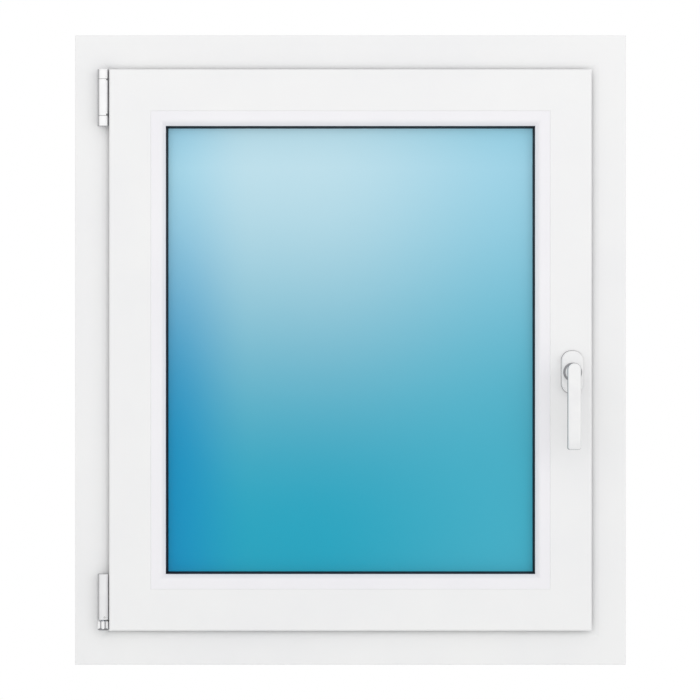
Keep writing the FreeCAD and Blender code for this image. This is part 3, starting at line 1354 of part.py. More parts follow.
def end_rod(side, way, outward):
    """Rod in the top or bottom groove with its riveted cam, slotted round the plate screws."""
    level = CORE_TOP if side == "top" else CORE_BOTTOM
    strip = groove_strip(side, (CAM_X - 60.0, CORE_X - 18.0 - ROD_TRAVEL), ROD_DEPTH, ROD_WIDTH)
    slots = []
    slot_width = 2 * (PLATE_SCREW[1] + FREE)
    for x in (CAM_X - PLATE_SCREW_OFFSET, CAM_X + PLATE_SCREW_OFFSET):
        ends = (x - 3.0 - max(0.0, way) * ROD_TRAVEL, x + 3.0 + max(0.0, -way) * ROD_TRAVEL)
        slots.append(groove_strip(side, ends, (ROD_DEPTH[0] - 1, ROD_DEPTH[1] + 1), slot_width))
    return joined([without(strip, slots), cam(V(CAM_X, GROOVE_Y, level), V(0, 0, outward))])


# Handle

def handle_base():
    """Fixed base plate under the rosette."""
    inset = ROSETTE_WALL + 0.2
    half_height = ROSETTE_HEIGHT / 2 - inset
    front = SASH_FACE - HANDLE_BASE_THICKNESS
    base = rounded_front(HANDLE_X, (HANDLE_Z - half_height, HANDLE_Z + half_height),
                         ROSETTE_WIDTH - 2 * inset, ROSETTE_CORNER - inset, (front, SASH_FACE))
    bore = rod(V(HANDLE_X, front - CUT_PAST, HANDLE_Z), V(HANDLE_X, SASH_FACE + CUT_PAST, HANDLE_Z),
               HUB_RADIUS + RUNNING)
    return without(base, [bore] + [handle_screw(z, True) for z in handle_screw_places()])


def handle_screw(z, envelope):
    """Handle screw from the base plate into the gearbox boss."""
    seat = V(HANDLE_X, SASH_FACE - HANDLE_BASE_THICKNESS, z)
    length = GROOVE_Y - HOUSING_HALF_DEPTH + 0.8 - seat.y
    build = screw_envelope if envelope else countersunk
    return build(seat, V(0, 1, 0), HANDLE_SCREW_HEAD, HANDLE_SCREW_SHANK, length)


def handle_screws():
    """The two handle screws."""
    return Part.makeCompound([handle_screw(z, False) for z in handle_screw_places()])


def handle_rosette():
    """Domed cover over the base plate and the screws."""
    heights = (HANDLE_Z - ROSETTE_HEIGHT / 2, HANDLE_Z + ROSETTE_HEIGHT / 2)
    front = SASH_FACE - ROSETTE_DEPTH
    cover = rounded_front(HANDLE_X, heights, ROSETTE_WIDTH, ROSETTE_CORNER, (front, SASH_FACE))
    rim = [edge for edge in cover.Edges if edge.BoundBox.YMax < front + 0.1]
    cover = cover.makeFillet(2.4, rim)
    wall = ROSETTE_WALL
    inside = rounded_front(HANDLE_X, (heights[0] + wall, heights[1] - wall), ROSETTE_WIDTH - 2 * wall,
                           ROSETTE_CORNER - wall, (front + 2.8, SASH_FACE + 1))
    bore = rod(V(HANDLE_X, front - 1, HANDLE_Z), V(HANDLE_X, SASH_FACE, HANDLE_Z), HUB_RADIUS + RUNNING)
    return cover.cut([inside, bore])


def handle_lever():
    """Hub, collar, neck and straight grip of the handle."""
    rosette_front = SASH_FACE - ROSETTE_DEPTH
    collar_back = rosette_front - FREE
    collar_front = rosette_front - COLLAR_HEIGHT
    grip_back = SASH_FACE - LEVER_STANDOFF
    half = LEVER_WIDTH / 2
    hub = rod(V(HANDLE_X, SASH_FACE - 0.6, HANDLE_Z), V(HANDLE_X, collar_back, HANDLE_Z), HUB_RADIUS)
    collar = cone(V(HANDLE_X, collar_back, HANDLE_Z), V(HANDLE_X, collar_front, HANDLE_Z),
                  COLLAR_RADIUS, HUB_RADIUS)
    neck = rod(V(HANDLE_X, collar_front, HANDLE_Z), V(HANDLE_X, grip_back - 3.0, HANDLE_Z), NECK_RADIUS)
    grip = front_plate([
        (HANDLE_X - half, HANDLE_Z - LEVER_BELOW, LEVER_FOOT_CORNER),
        (HANDLE_X + half, HANDLE_Z - LEVER_BELOW, LEVER_FOOT_CORNER),
        (HANDLE_X + half, HANDLE_Z + LEVER_ABOVE, half - 0.4),
        (HANDLE_X - half, HANDLE_Z + LEVER_ABOVE, half - 0.4),
    ], (grip_back - LEVER_THICKNESS, grip_back))
    rims = [edge for edge in grip.Edges if edge.BoundBox.YLength < 1e-6]
    grip = grip.makeFillet(LEVER_RIM, rims)
    return joined([hub, collar, neck, grip]).cut(spindle_block(0))


def nodes():
    """Every named sub-part with its shape."""
    parts = {}
    parts.update(frame_members())
    parts["frame_steels"] = frame_steels()
    parts["frame_gasket"] = mitred_ring(frame_gasket_section(), FRAME_RECTANGLE)
    parts["drain_caps"] = drain_caps()
    parts.update(keeps())
    parts["keep_screws"] = plate_screws(keep_screw_seats(), PLATE_SCREW_LENGTH)
    parts["corner_bearing"] = corner_bearing()
    parts["corner_bearing_cover"] = corner_bearing_cover()
    parts["stay_bearing_upper"] = stay_bearing_upper()
    parts["stay_bearing_lower"] = stay_bearing_lower()
    parts["stay_bearing_pin"] = stay_bearing_pin()
    parts["hinge_screws"] = plate_screws(hinge_screw_seats(), PLATE_SCREW_LENGTH)
    parts["pivot_swivel"] = pivot_swivel()
    parts["trunnion_pin"] = trunnion_pin()
    parts.update(sash_members())
    parts["sash_steels"] = sash_steels()
    parts.update(glazing_beads())
    parts.update(glass_unit())
    parts["bead_gasket"] = mitred_ring(bead_gasket_section(), SASH_RECTANGLE)
    parts["outer_glazing_gasket"] = mitred_ring(outer_glazing_gasket_section(), SASH_RECTANGLE)
    parts["sash_gasket"] = sash_gasket()
    parts["setting_blocks"] = setting_blocks()
    parts["sash_hinge_band"] = sash_hinge_band()
    parts["pivot_post"] = pivot_post()
    parts["gearbox_housing"] = gearbox_housing()
    parts.update(faceplates())
    parts["corner_drive_top"] = corner_drive(True)
    parts["corner_drive_bottom"] = corner_drive(False)
    parts["sash_hardware_screws"] = plate_screws(all_sash_screw_seats(), PLATE_SCREW_LENGTH)
    parts["handle_base"] = handle_base()
    parts["handle_rosette"] = handle_rosette()
    parts["handle_screws"] = handle_screws()
    parts["handle_lever"] = handle_lever()
    parts["handle_spindle"] = spindle_block(0)
    parts["gear_pinion"] = gear_pinion()
    parts["drive_rod"] = drive_rod()
    parts["lock_cams"] = lock_cams()
    parts["rod_top"] = end_rod("top", -1.0, 1)
    parts["rod_bottom"] = end_rod("bottom", 1.0, -1)
    parts["stay_arm"] = stay_arm()
    parts["stay_slide_pin"] = stay_slide_pin()
    return parts


def main():
    """Write one STEP file per sub-part."""
    os.makedirs("parts", exist_ok=True)
    for name, shape in nodes().items():
        if not shape.isValid():
            print("not valid:", name)
        print(f"{name}: {len(shape.Solids)} solid(s), {shape.Volume / 1000:.2f} cm3")
        shape.exportStep(os.path.join("parts", name + ".step"))


main()
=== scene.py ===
"""Looks of a white uPVC window that turns and tilts inwards, built round its CAD model.

Metres. X runs to the right as seen from the room, Y runs outdoors, Z runs up.
"""

import logging
import math
from dataclasses import dataclass, field
from enum import Enum
from typing import Any, Callable, Iterable, Optional

import bmesh
import bpy
from mathutils import Matrix, Vector

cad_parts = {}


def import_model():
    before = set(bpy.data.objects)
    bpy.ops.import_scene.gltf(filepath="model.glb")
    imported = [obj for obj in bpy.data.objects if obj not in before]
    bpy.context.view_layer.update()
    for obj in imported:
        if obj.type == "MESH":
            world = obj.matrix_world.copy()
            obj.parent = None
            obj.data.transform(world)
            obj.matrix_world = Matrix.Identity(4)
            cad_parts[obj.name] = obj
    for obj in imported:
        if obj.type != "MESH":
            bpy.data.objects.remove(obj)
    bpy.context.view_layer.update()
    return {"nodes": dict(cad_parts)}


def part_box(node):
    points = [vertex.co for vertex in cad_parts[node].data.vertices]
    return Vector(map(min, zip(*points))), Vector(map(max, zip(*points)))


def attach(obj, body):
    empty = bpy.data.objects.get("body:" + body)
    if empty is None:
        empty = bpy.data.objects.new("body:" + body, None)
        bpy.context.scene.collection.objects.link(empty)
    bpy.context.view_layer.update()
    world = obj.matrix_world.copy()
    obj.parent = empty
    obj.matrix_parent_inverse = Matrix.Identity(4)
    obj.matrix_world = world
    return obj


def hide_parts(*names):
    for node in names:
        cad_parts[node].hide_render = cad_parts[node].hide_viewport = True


LOG = logging.getLogger("window")
MM = 0.001
TOUCH = 0.001 * MM


class Run(Enum):
    """Way that a profile was drawn through its die."""

    ACROSS = "across"
    UP = "up"


# Materials

def linear(hex_colour: str) -> tuple[float, float, float, float]:
    """Turns an sRGB hex colour into linear values.

    Args:
        hex_colour: Six hex digits.

    Returns:
        Red, green and blue from 0 to 1, and an alpha of 1.
    """
    channels = []
    for start in (0, 2, 4):
        value = int(hex_colour[start:start + 2], 16) / 255
        channels.append(value / 12.92 if value <= 0.04045 else ((value + 0.055) / 1.055) ** 2.4)
    return channels[0], channels[1], channels[2], 1.0


def add_node(tree: bpy.types.NodeTree, kind: str, settings: Optional[dict[str, Any]] = None,
             values: Optional[dict[Any, Any]] = None,
             links: Optional[dict[Any, bpy.types.NodeSocket]] = None) -> bpy.types.Node:
    """Adds a node to a tree.

    Args:
        tree: The material's or the world's node tree.
        kind: Blender's name for the kind of node, without its "ShaderNode".
        settings: Properties of the node.
        values: Numbers and colours for its inputs, by name or place.
        links: Outputs of other nodes that feed its inputs, by name or place.

    Returns:
        The new node.
    """
    node = tree.nodes.new("ShaderNode" + kind)
    for name, value in (settings or {}).items():
        setattr(node, name, value)
    for name, value in (values or {}).items():
        node.inputs[name].default_value = value
    for name, output in (links or {}).items():
        tree.links.new(output, node.inputs[name])
    return node


def set_stops(ramp: bpy.types.Node, stops: Iterable[tuple[float, str]]) -> None:
    """Gives a colour ramp its stops.

    Args:
        ramp: The colour ramp node.
        stops: Place from 0 to 1 and sRGB hex colour of each stop, in order.
    """
    elements = ramp.color_ramp.elements
    for index, (place, colour) in enumerate(stops):
        element = elements[index] if index < 2 else elements.new(place)
        element.position = place
        element.color = linear(colour)


@dataclass(frozen=True)
class Finish:
    """A surface finish that every piece of one kind shares."""

    name: str

    def material(self) -> bpy.types.Material:
        """Makes the material once and hands it out.

        Returns:
            The finish's material.
        """
        found = bpy.data.materials.get(self.name)
        if found:
            return found
        made = bpy.data.materials.new(self.name)
        made.use_nodes = True
        tree = made.node_tree
        shader = tree.nodes["Principled BSDF"]
        place = add_node(tree, "TexCoord").outputs["Object"]
        self.dress(tree, shader, place)
        return made

    def dress(self, tree: bpy.types.NodeTree, shader: bpy.types.Node,
              place: bpy.types.NodeSocket) -> None:
        """Adds the finish's nodes.

        Args:
            tree: The material's node tree.
            shader: Its Principled BSDF.
            place: Object coordinates.
        """
        raise NotImplementedError


@dataclass(frozen=True)
class ExtrudedVinyl(Finish):
    """Extruded uPVC: satin white with a slow drift of tone and faint die lines along the bar."""

    light: str = "f1f1f1"
    shade: str = "eeeeef"
    run: Run = Run.UP
    roughness: float = 0.34
    line_spacing: float = 1.6 * MM
    line_depth: float = 0.012 * MM

    def dress(self, tree: bpy.types.NodeTree, shader: bpy.types.Node,
              place: bpy.types.NodeSocket) -> None:
        """Adds the drift of tone, the die lines and the uneven sheen.

        Args:
            tree: The material's node tree.
            shader: Its Principled BSDF.
            place: Object coordinates.
        """
        drift = add_node(tree, "TexNoise", values={"Scale": 9.0, "Detail": 2.0}, links={"Vector": place})
        ramp = add_node(tree, "ValToRGB", links={"Fac": drift.outputs["Fac"]})
        set_stops(ramp, ((0.3, self.shade), (0.7, self.light)))
        tree.links.new(ramp.outputs["Color"], shader.inputs["Base Color"])
        across = 1 / self.line_spacing
        along = across / 400
        scale = (along, across, across) if self.run is Run.ACROSS else (across, across, along)
        stretched = add_node(tree, "Mapping", values={"Scale": scale}, links={"Vector": place})
        lines = add_node(tree, "TexNoise", values={"Scale": 1.0, "Detail": 3.0, "Roughness": 0.6},
                         links={"Vector": stretched.outputs["Vector"]})
        sheen = add_node(tree, "MapRange",
                         values={"To Min": self.roughness - 0.05, "To Max": self.roughness + 0.05},
                         links={"Value": lines.outputs["Fac"]})
        tree.links.new(sheen.outputs["Result"], shader.inputs["Roughness"])
        bump = add_node(tree, "Bump", values={"Strength": 0.35, "Distance": self.line_depth},
                        links={"Height": lines.outputs["Fac"]})
        tree.links.new(bump.outputs["Normal"], shader.inputs["Normal"])
        shader.inputs["IOR"].default_value = 1.53
        shader.inputs["Specular IOR Level"].default_value = 0.4


@dataclass(frozen=True)
class ExtrudedRubber(Finish):
    """Extruded EPDM rubber: near black, dull, with a fine skin grain."""

    dark: str = "10131c"
    bloom: str = "20232c"
    roughness: float = 0.55
    grain: float = 0.7 * MM

    def dress(self, tree: bpy.types.NodeTree, shader: bpy.types.Node,
              place: bpy.types.NodeSocket) -> None:
        """Adds the grey bloom and the grain.

        Args:
            tree: The material's node tree.
            shader: Its Principled BSDF.
            place: Object coordinates.
        """
        bloom = add_node(tree, "TexNoise", values={"Scale": 40.0, "Detail": 4.0}, links={"Vector": place})
        ramp = add_node(tree, "ValToRGB", links={"Fac": bloom.outputs["Fac"]})
        set_stops(ramp, ((0.35, self.dark), (0.8, self.bloom)))
        tree.links.new(ramp.outputs["Color"], shader.inputs["Base Color"])
        skin = add_node(tree, "TexNoise", values={"Scale": 1 / self.grain, "Detail": 2.0},
                        links={"Vector": place})
        bump = add_node(tree, "Bump", values={"Strength": 0.3, "Distance": 0.05 * MM},
                        links={"Height": skin.outputs["Fac"]})
        tree.links.new(bump.outputs["Normal"], shader.inputs["Normal"])
        shader.inputs["Roughness"].default_value = self.roughness
        shader.inputs["IOR"].default_value = 1.5
        shader.inputs["Specular IOR Level"].default_value = 0.3


@dataclass(frozen=True)
class PaintedSkyField:
    """One upright field of sky reflection, painted into the glass's colour: deep blue low down, pale high up.
    """

    deep: str
    pale: str
    power: float


@dataclass(frozen=True)
class PaintedSkyGlass(Finish):
    """Float glass with a solar coating: smooth, with a painted reflection of the sky as its blue colour.

    The painted sky is palest a little below the head and deepest at the foot, and three fields of it run into
    each other from the hinge side to the lock side.
    """

    bottom: float = 0.118
    height: float = 0.564
    half_width: float = 0.232
    turn_x: float = 0.12
    palest: float = 0.91
    hinge_side: PaintedSkyField = PaintedSkyField("009acc", "b2e4f6", 2.5)
    middle: PaintedSkyField = PaintedSkyField("1eacca", "c9ebf7", 1.5)
    lock_side: PaintedSkyField = PaintedSkyField("43b7d1", "a8def2", 2.0)
    roughness: float = 0.03
    coating: float = 0.1
    clearness: float = 0.12

    def sky(self, tree: bpy.types.NodeTree, rise: bpy.types.NodeSocket,
            part: PaintedSkyField) -> bpy.types.NodeSocket:
        """Adds one field of painted sky reflection.

        Args:
            tree: The material's node tree.
            rise: Height from 0 to 1, eased at both ends.
            part: The field's colours and how late it turns pale.

        Returns:
            The field's colour.
        """
        turn = add_node(tree, "Math", {"operation": "POWER"}, {1: part.power}, {0: rise})
        return add_node(tree, "Mix", {"data_type": "RGBA"}, {6: linear(part.deep), 7: linear(part.pale)},
                        {0: turn.outputs["Value"]}).outputs[2]

    def dress(self, tree: bpy.types.NodeTree, shader: bpy.types.Node,
              place: bpy.types.NodeSocket) -> None:
        """Adds the three fields of painted sky reflection and the faint waves of float glass.

        Args:
            tree: The material's node tree.
            shader: Its Principled BSDF.
            place: Object coordinates.
        """
        axes = add_node(tree, "SeparateXYZ", links={"Vector": place})
        height = add_node(tree, "MapRange",
                          values={"From Min": self.bottom, "From Max": self.bottom + self.height},
                          links={"Value": axes.outputs["Z"]})
        folded = add_node(tree, "Math", {"operation": "PINGPONG"}, {1: self.palest},
                          {0: height.outputs["Result"]})
        rise = add_node(tree, "MapRange", {"interpolation_type": "SMOOTHSTEP"},
                        links={"Value": folded.outputs["Value"]}).outputs["Result"]
        first = add_node(tree, "MapRange", {"interpolation_type": "SMOOTHSTEP"},
                         {"From Min": -self.half_width, "From Max": -self.turn_x},
                         {"Value": axes.outputs["X"]})
        second = add_node(tree, "MapRange", {"interpolation_type": "SMOOTHSTEP"},
                          {"From Min": -0.5 * self.turn_x, "From Max": self.half_width},
                          {"Value": axes.outputs["X"]})
        left = add_node(tree, "Mix", {"data_type": "RGBA"},
                        links={0: first.outputs["Result"], 6: self.sky(tree, rise, self.hinge_side),
                               7: self.sky(tree, rise, self.middle)})
        whole = add_node(tree, "Mix", {"data_type": "RGBA"},
                         links={0: second.outputs["Result"], 6: left.outputs[2],
                                7: self.sky(tree, rise, self.lock_side)})
        # Painted reflection: the mirrored sky's colours go into the base colour.
        tree.links.new(whole.outputs[2], shader.inputs["Base Color"])
        waves = add_node(tree, "TexNoise", values={"Scale": 3.0, "Detail": 0.0}, links={"Vector": place})
        bump = add_node(tree, "Bump", values={"Strength": 0.05, "Distance": 0.2 * MM},
                        links={"Height": waves.outputs["Fac"]})
        tree.links.new(bump.outputs["Normal"], shader.inputs["Normal"])
        shader.inputs["Roughness"].default_value = self.roughness
        shader.inputs["IOR"].default_value = 1.52
        shader.inputs["Specular IOR Level"].default_value = self.coating
        shader.inputs["Transmission Weight"].default_value = self.clearness


@dataclass(frozen=True)
class PowderCoat(Finish):
    """Powder-coated metal: bright white, half gloss, with a slight orange peel."""

    colour: str = "fafafa"
    hollow: str = "f4f4f5"
    roughness: float = 0.28
    peel: float = 1.8 * MM

    def dress(self, tree: bpy.types.NodeTree, shader: bpy.types.Node,
              place: bpy.types.NodeSocket) -> None:
        """Adds the orange peel and a slight change of tone.

        Args:
            tree: The material's node tree.
            shader: Its Principled BSDF.
            place: Object coordinates.
        """
        tone = add_node(tree, "TexNoise", values={"Scale": 60.0, "Detail": 2.0}, links={"Vector": place})
        ramp = add_node(tree, "ValToRGB", links={"Fac": tone.outputs["Fac"]})
        set_stops(ramp, ((0.3, self.hollow), (0.7, self.colour)))
        tree.links.new(ramp.outputs["Color"], shader.inputs["Base Color"])
        peel = add_node(tree, "TexVoronoi", {"feature": "SMOOTH_F1"},
                        {"Scale": 1 / self.peel, "Smoothness": 1.0}, {"Vector": place})
        bump = add_node(tree, "Bump", values={"Strength": 0.15, "Distance": 0.03 * MM},
                        links={"Height": peel.outputs["Distance"]})
        tree.links.new(bump.outputs["Normal"], shader.inputs["Normal"])
        shader.inputs["Roughness"].default_value = self.roughness
        shader.inputs["IOR"].default_value = 1.5


@dataclass(frozen=True)
class ZincPlate(Finish):
    """Zinc-plated steel, passivated: silver with a cool cast, brushed a little and cloudy."""

    bright: str = "c9ccd0"
    dull: str = "a6abb2"
    roughness: float = 0.32
    brush: float = 0.5 * MM

    def dress(self, tree: bpy.types.NodeTree, shader: bpy.types.Node,
              place: bpy.types.NodeSocket) -> None:
        """Adds the clouds and the brush lines.

        Args:
            tree: The material's node tree.
            shader: Its Principled BSDF.
            place: Object coordinates.
        """
        cloud = add_node(tree, "TexNoise", values={"Scale": 70.0, "Detail": 4.0}, links={"Vector": place})
        ramp = add_node(tree, "ValToRGB", links={"Fac": cloud.outputs["Fac"]})
        set_stops(ramp, ((0.35, self.dull), (0.65, self.bright)))
        tree.links.new(ramp.outputs["Color"], shader.inputs["Base Color"])
        rough = add_node(tree, "MapRange",
                         values={"To Min": self.roughness - 0.08, "To Max": self.roughness + 0.12},
                         links={"Value": cloud.outputs["Fac"]})
        tree.links.new(rough.outputs["Result"], shader.inputs["Roughness"])
        grain = add_node(tree, "Mapping", values={"Scale": (1 / self.brush, 1 / self.brush, 12.0)},
                         links={"Vector": place})
        lines = add_node(tree, "TexNoise", values={"Scale": 1.0, "Detail": 2.0},
                         links={"Vector": grain.outputs["Vector"]})
        bump = add_node(tree, "Bump", values={"Strength": 0.2, "Distance": 0.02 * MM},
                        links={"Height": lines.outputs["Fac"]})
        tree.links.new(bump.outputs["Normal"], shader.inputs["Normal"])
        shader.inputs["Metallic"].default_value = 1.0


@dataclass(frozen=True)
class GalvanisedSteel(Finish):
    """Hot-dip galvanised steel: grey with flat crystals of spangle."""

    light: str = "b4b8bb"
    dark: str = "868c91"
    spangle: float = 9 * MM

    def dress(self, tree: bpy.types.NodeTree, shader: bpy.types.Node,
              place: bpy.types.NodeSocket) -> None:
        """Adds the spangle to the colour and to the roughness.

        Args:
            tree: The material's node tree.
            shader: Its Principled BSDF.
            place: Object coordinates.
        """
        cells = add_node(tree, "TexVoronoi", values={"Scale": 1 / self.spangle}, links={"Vector": place})
        grey = add_node(tree, "RGBToBW", links={"Color": cells.outputs["Color"]})
        ramp = add_node(tree, "ValToRGB", links={"Fac": grey.outputs["Val"]})
        set_stops(ramp, ((0.2, self.dark), (0.8, self.light)))
        tree.links.new(ramp.outputs["Color"], shader.inputs["Base Color"])
        rough = add_node(tree, "MapRange", values={"To Min": 0.35, "To Max": 0.6},
                         links={"Value": grey.outputs["Val"]})
        tree.links.new(rough.outputs["Result"], shader.inputs["Roughness"])
        shader.inputs["Metallic"].default_value = 1.0


@dataclass(frozen=True)
class RolledAluminium(Finish):
    """Roll-formed mill aluminium: bright bar with two rows of fine drying holes."""

    metal: str = "d5d8db"
    hole: str = "50545a"
    pitch: float = 4 * MM

    def dress(self, tree: bpy.types.NodeTree, shader: bpy.types.Node,
              place: bpy.types.NodeSocket) -> None:
        """Adds the drying holes as dark dots.

        Args:
            tree: The material's node tree.
            shader: Its Principled BSDF.
            place: Object coordinates.
        """
        dots = add_node(tree, "TexVoronoi", values={"Scale": 1 / self.pitch, "Randomness": 0.0},
                        links={"Vector": place})
        ramp = add_node(tree, "ValToRGB", links={"Fac": dots.outputs["Distance"]})
        set_stops(ramp, ((0.16, self.hole), (0.22, self.metal)))
        tree.links.new(ramp.outputs["Color"], shader.inputs["Base Color"])
        rolled = add_node(tree, "TexNoise", values={"Scale": 300.0, "Detail": 2.0}, links={"Vector": place})
        rough = add_node(tree, "MapRange", values={"To Min": 0.25, "To Max": 0.42},
                         links={"Value": rolled.outputs["Fac"]})
        tree.links.new(rough.outputs["Result"], shader.inputs["Roughness"])
        shader.inputs["Metallic"].default_value = 1.0


@dataclass(frozen=True)
class MouldedPlastic(Finish):
    """Injection-moulded plastic with a spark-eroded grain."""

    colour: str = "d8dadd"
    shade: str = "ccced2"
    roughness: float = 0.45
    grain: float = 0.9 * MM

    def dress(self, tree: bpy.types.NodeTree, shader: bpy.types.Node,
              place: bpy.types.NodeSocket) -> None:
        """Adds the grain and a slight change of tone.

        Args:
            tree: The material's node tree.
            shader: Its Principled BSDF.
            place: Object coordinates.
        """
        grain = add_node(tree, "TexNoise", values={"Scale": 1 / self.grain, "Detail": 2.0},
                         links={"Vector": place})
        ramp = add_node(tree, "ValToRGB", links={"Fac": grain.outputs["Fac"]})
        set_stops(ramp, ((0.35, self.shade), (0.65, self.colour)))
        tree.links.new(ramp.outputs["Color"], shader.inputs["Base Color"])
        bump = add_node(tree, "Bump", values={"Strength": 0.25, "Distance": 0.03 * MM},
                        links={"Height": grain.outputs["Fac"]})
        tree.links.new(bump.outputs["Normal"], shader.inputs["Normal"])
        shader.inputs["Roughness"].default_value = self.roughness
        shader.inputs["IOR"].default_value = 1.49


@dataclass(frozen=True)
class StudioFloor(Finish):
    """Matt painted studio floor, lit from within a little so that it stays pale below the window."""

    colour: str = "e8e8e7"
    shade: str = "e4e4e3"
    glow: float = 0.12

    def dress(self, tree: bpy.types.NodeTree, shader: bpy.types.Node,
              place: bpy.types.NodeSocket) -> None:
        """Adds the faint roller marks and the glow.

        Args:
            tree: The material's node tree.
            shader: Its Principled BSDF.
            place: Object coordinates.
        """
        marks = add_node(tree, "TexNoise", values={"Scale": 25.0, "Detail": 2.0}, links={"Vector": place})
        ramp = add_node(tree, "ValToRGB", links={"Fac": marks.outputs["Fac"]})
        set_stops(ramp, ((0.35, self.shade), (0.65, self.colour)))
        tree.links.new(ramp.outputs["Color"], shader.inputs["Base Color"])
        shader.inputs["Roughness"].default_value = 0.8
        shader.inputs["Emission Color"].default_value = linear(self.colour)
        shader.inputs["Emission Strength"].default_value = self.glow


VINYL_ACROSS = ExtrudedVinyl("extruded_upvc_across", run=Run.ACROSS)
VINYL_UP = ExtrudedVinyl("extruded_upvc_up", run=Run.UP)
# The beads come from a finer die, so their lines lie closer, and their white is a touch bluer.
BEAD_ACROSS = ExtrudedVinyl("extruded_upvc_bead_across", light="f1f0f3", shade="eeedf1", run=Run.ACROSS,
                            line_spacing=0.9 * MM)
BEAD_UP = ExtrudedVinyl("extruded_upvc_bead_up", light="f1f0f3", shade="eeedf1", run=Run.UP,
                        line_spacing=0.9 * MM)
RUBBER = ExtrudedRubber("extruded_epdm_rubber")
# The pad is a lighter grey, duller than the extruded rubber: a painted contact shadow round the rosette's
# foot.
PAD_PAINTED_SHADOW = ExtrudedRubber("rosette_pad_painted_shadow", dark="58585b", bloom="68686b", roughness=0.8)
# Two-part sealant: flatter and a touch browner than the rubber.
SEALANT = ExtrudedRubber("gunned_polysulphide_sealant", dark="14120f", bloom="262320", roughness=0.75,
                         grain=2 * MM)
# Its colour is a painted reflection of the sky.
GLASS = PaintedSkyGlass("float_glass_painted_sky_reflection")
# The small caps are the brightest white of all.
COAT = PowderCoat("powder_coated_zinc")
# The sleeve is coated a shade greyer than the small caps.
SLEEVE_COAT = PowderCoat("powder_coated_steel_sleeve", colour="ececed", hollow="e6e6e8", roughness=0.32)
# The lever is a shade off the caps' white, so that its light side stands out from the sash.
HANDLE_COAT = PowderCoat("powder_coated_aluminium", colour="f0f0f0", hollow="ebebec", roughness=0.3)
# The rosette is painted to match the sash rather than the lever.
ROSETTE_COAT = PowderCoat("painted_zinc_rosette", colour="f2f2f2", hollow="eeeeef", roughness=0.34)
# The knuckles under their white caps are a dull grey: painted shade, so the strips beside the caps read as
# the shaded sides of the round knuckles.
KNUCKLE_PAINTED_SHADE = PowderCoat("knuckle_grey_painted_shade", colour="b4b4b6", hollow="acacae", roughness=0.4)
# The foot flange is darker still: painted shade under the ribs' rounded ends.
FLANGE_PAINTED_SHADE = PowderCoat("flange_dark_grey_painted_shade", colour="8a8a8d", hollow="818184", roughness=0.45)
PLATE = ZincPlate("zinc_plated_steel")
# Screw heads are barrel-plated: brighter than the pressed plates.
SCREW_PLATE = ZincPlate("barrel_plated_screw_steel", bright="d3d4d2", dull="b0b1ad", roughness=0.26)
GALVANISED = GalvanisedSteel("hot_dip_galvanised_steel")
ALUMINIUM = RolledAluminium("roll_formed_aluminium")
NYLON = MouldedPlastic("moulded_nylon")
# The neck turns on a grey nylon ring; its grey is painted shade, the dark crescent under the lever's head.
COLLAR_PAINTED_SHADE = MouldedPlastic("collar_grey_painted_shade", colour="98989b", shade="8e8e91", roughness=0.42)
# The back shell of the lever is grey and a little wider, so a fine dark line runs round the white front:
# painted shade along the lever's rim.
LEVER_BACK_PAINTED_SHADE = MouldedPlastic("lever_back_grey_painted_shade", colour="8c8c8f", shade="828286", roughness=0.5)
# Glazing packers are colour coded by thickness: 4 mm is a soft blue.
PACKER = MouldedPlastic("moulded_polypropylene_packer", colour="6f97bd", shade="6189af")
CAP_PLASTIC = MouldedPlastic("moulded_asa_cap", colour="f0f0f0", shade="e9eaeb", roughness=0.4)
# The bushings' lugs are almost black, with a finer grain: painted shade, the dark notches where the knuckles
# meet.
LUG_PAINTED_SHADE = MouldedPlastic("lug_near_black_painted_shade", colour="3c3d40", shade="2b2c2f", roughness=0.4,
                              grain=0.4 * MM)
STUDIO_FLOOR = StudioFloor("painted_studio_floor")


# Shapes

def finished(name: str, form: bmesh.types.BMesh, finish: Finish, body: str,
             crease: float = 32.0) -> bpy.types.Object:
    """Turns a form into a piece that rides on a body.

    Args:
        name: The piece's name.
        form: The closed form, where it sits in the window. It is freed.
        finish: Its surface finish.
        body: The CAD body it moves with.
        crease: Edges sharper than this many degrees stay sharp.

    Returns:
        The piece.
    """
    bmesh.ops.remove_doubles(form, verts=form.verts, dist=2 * TOUCH)
    bmesh.ops.recalc_face_normals(form, faces=form.faces)
    mesh = bpy.data.meshes.new(name)
    form.to_mesh(mesh)
    form.free()
    mesh.shade_smooth()
    mesh.set_sharp_from_angle(angle=math.radians(crease))
    mesh.materials.append(finish.material())
    piece = bpy.data.objects.new(name, mesh)
    bpy.context.scene.collection.objects.link(piece)
    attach(piece, body)
    LOG.info("piece %s on %s: %d faces", name, body, len(mesh.polygons))
    return piece


def edges_where(form: bmesh.types.BMesh, test: Callable[[Vector], bool]) -> list[bmesh.types.BMEdge]:
    """Edges whose two ends both pass a test.

    Args:
        form: The form.
        test: Takes a point.

    Returns:
        The edges.
    """
    return [edge for edge in form.edges if all(test(vert.co) for vert in edge.verts)]


def turned(profile: Iterable[tuple[float, float]], centre: Vector, axis: Vector, steps: int = 40,
           form: Optional[bmesh.types.BMesh] = None) -> bmesh.types.BMesh:
    """Turns a profile into a round form.

    Args:
        profile: Radius and height along the axis of each point, from one end to the other.
        centre: Where the axis starts.
        axis: The way that the heights run.
        steps: Sides of the circle.
        form: A form to add to.

    Returns:
        The form.
    """
    form = form or bmesh.new()
    to_axis = Vector((0, 0, 1)).rotation_difference(axis).to_matrix()
    points = [form.verts.new(centre + to_axis @ Vector((radius, 0, height))) for radius, height in profile]
    line = [form.edges.new(pair) for pair in zip(points, points[1:])]
    bmesh.ops.spin(form, geom=points + line, cent=centre, axis=axis, angle=math.tau, steps=steps,
                   use_merge=True)
    bmesh.ops.remove_doubles(form, verts=form.verts, dist=2 * TOUCH)
    return form


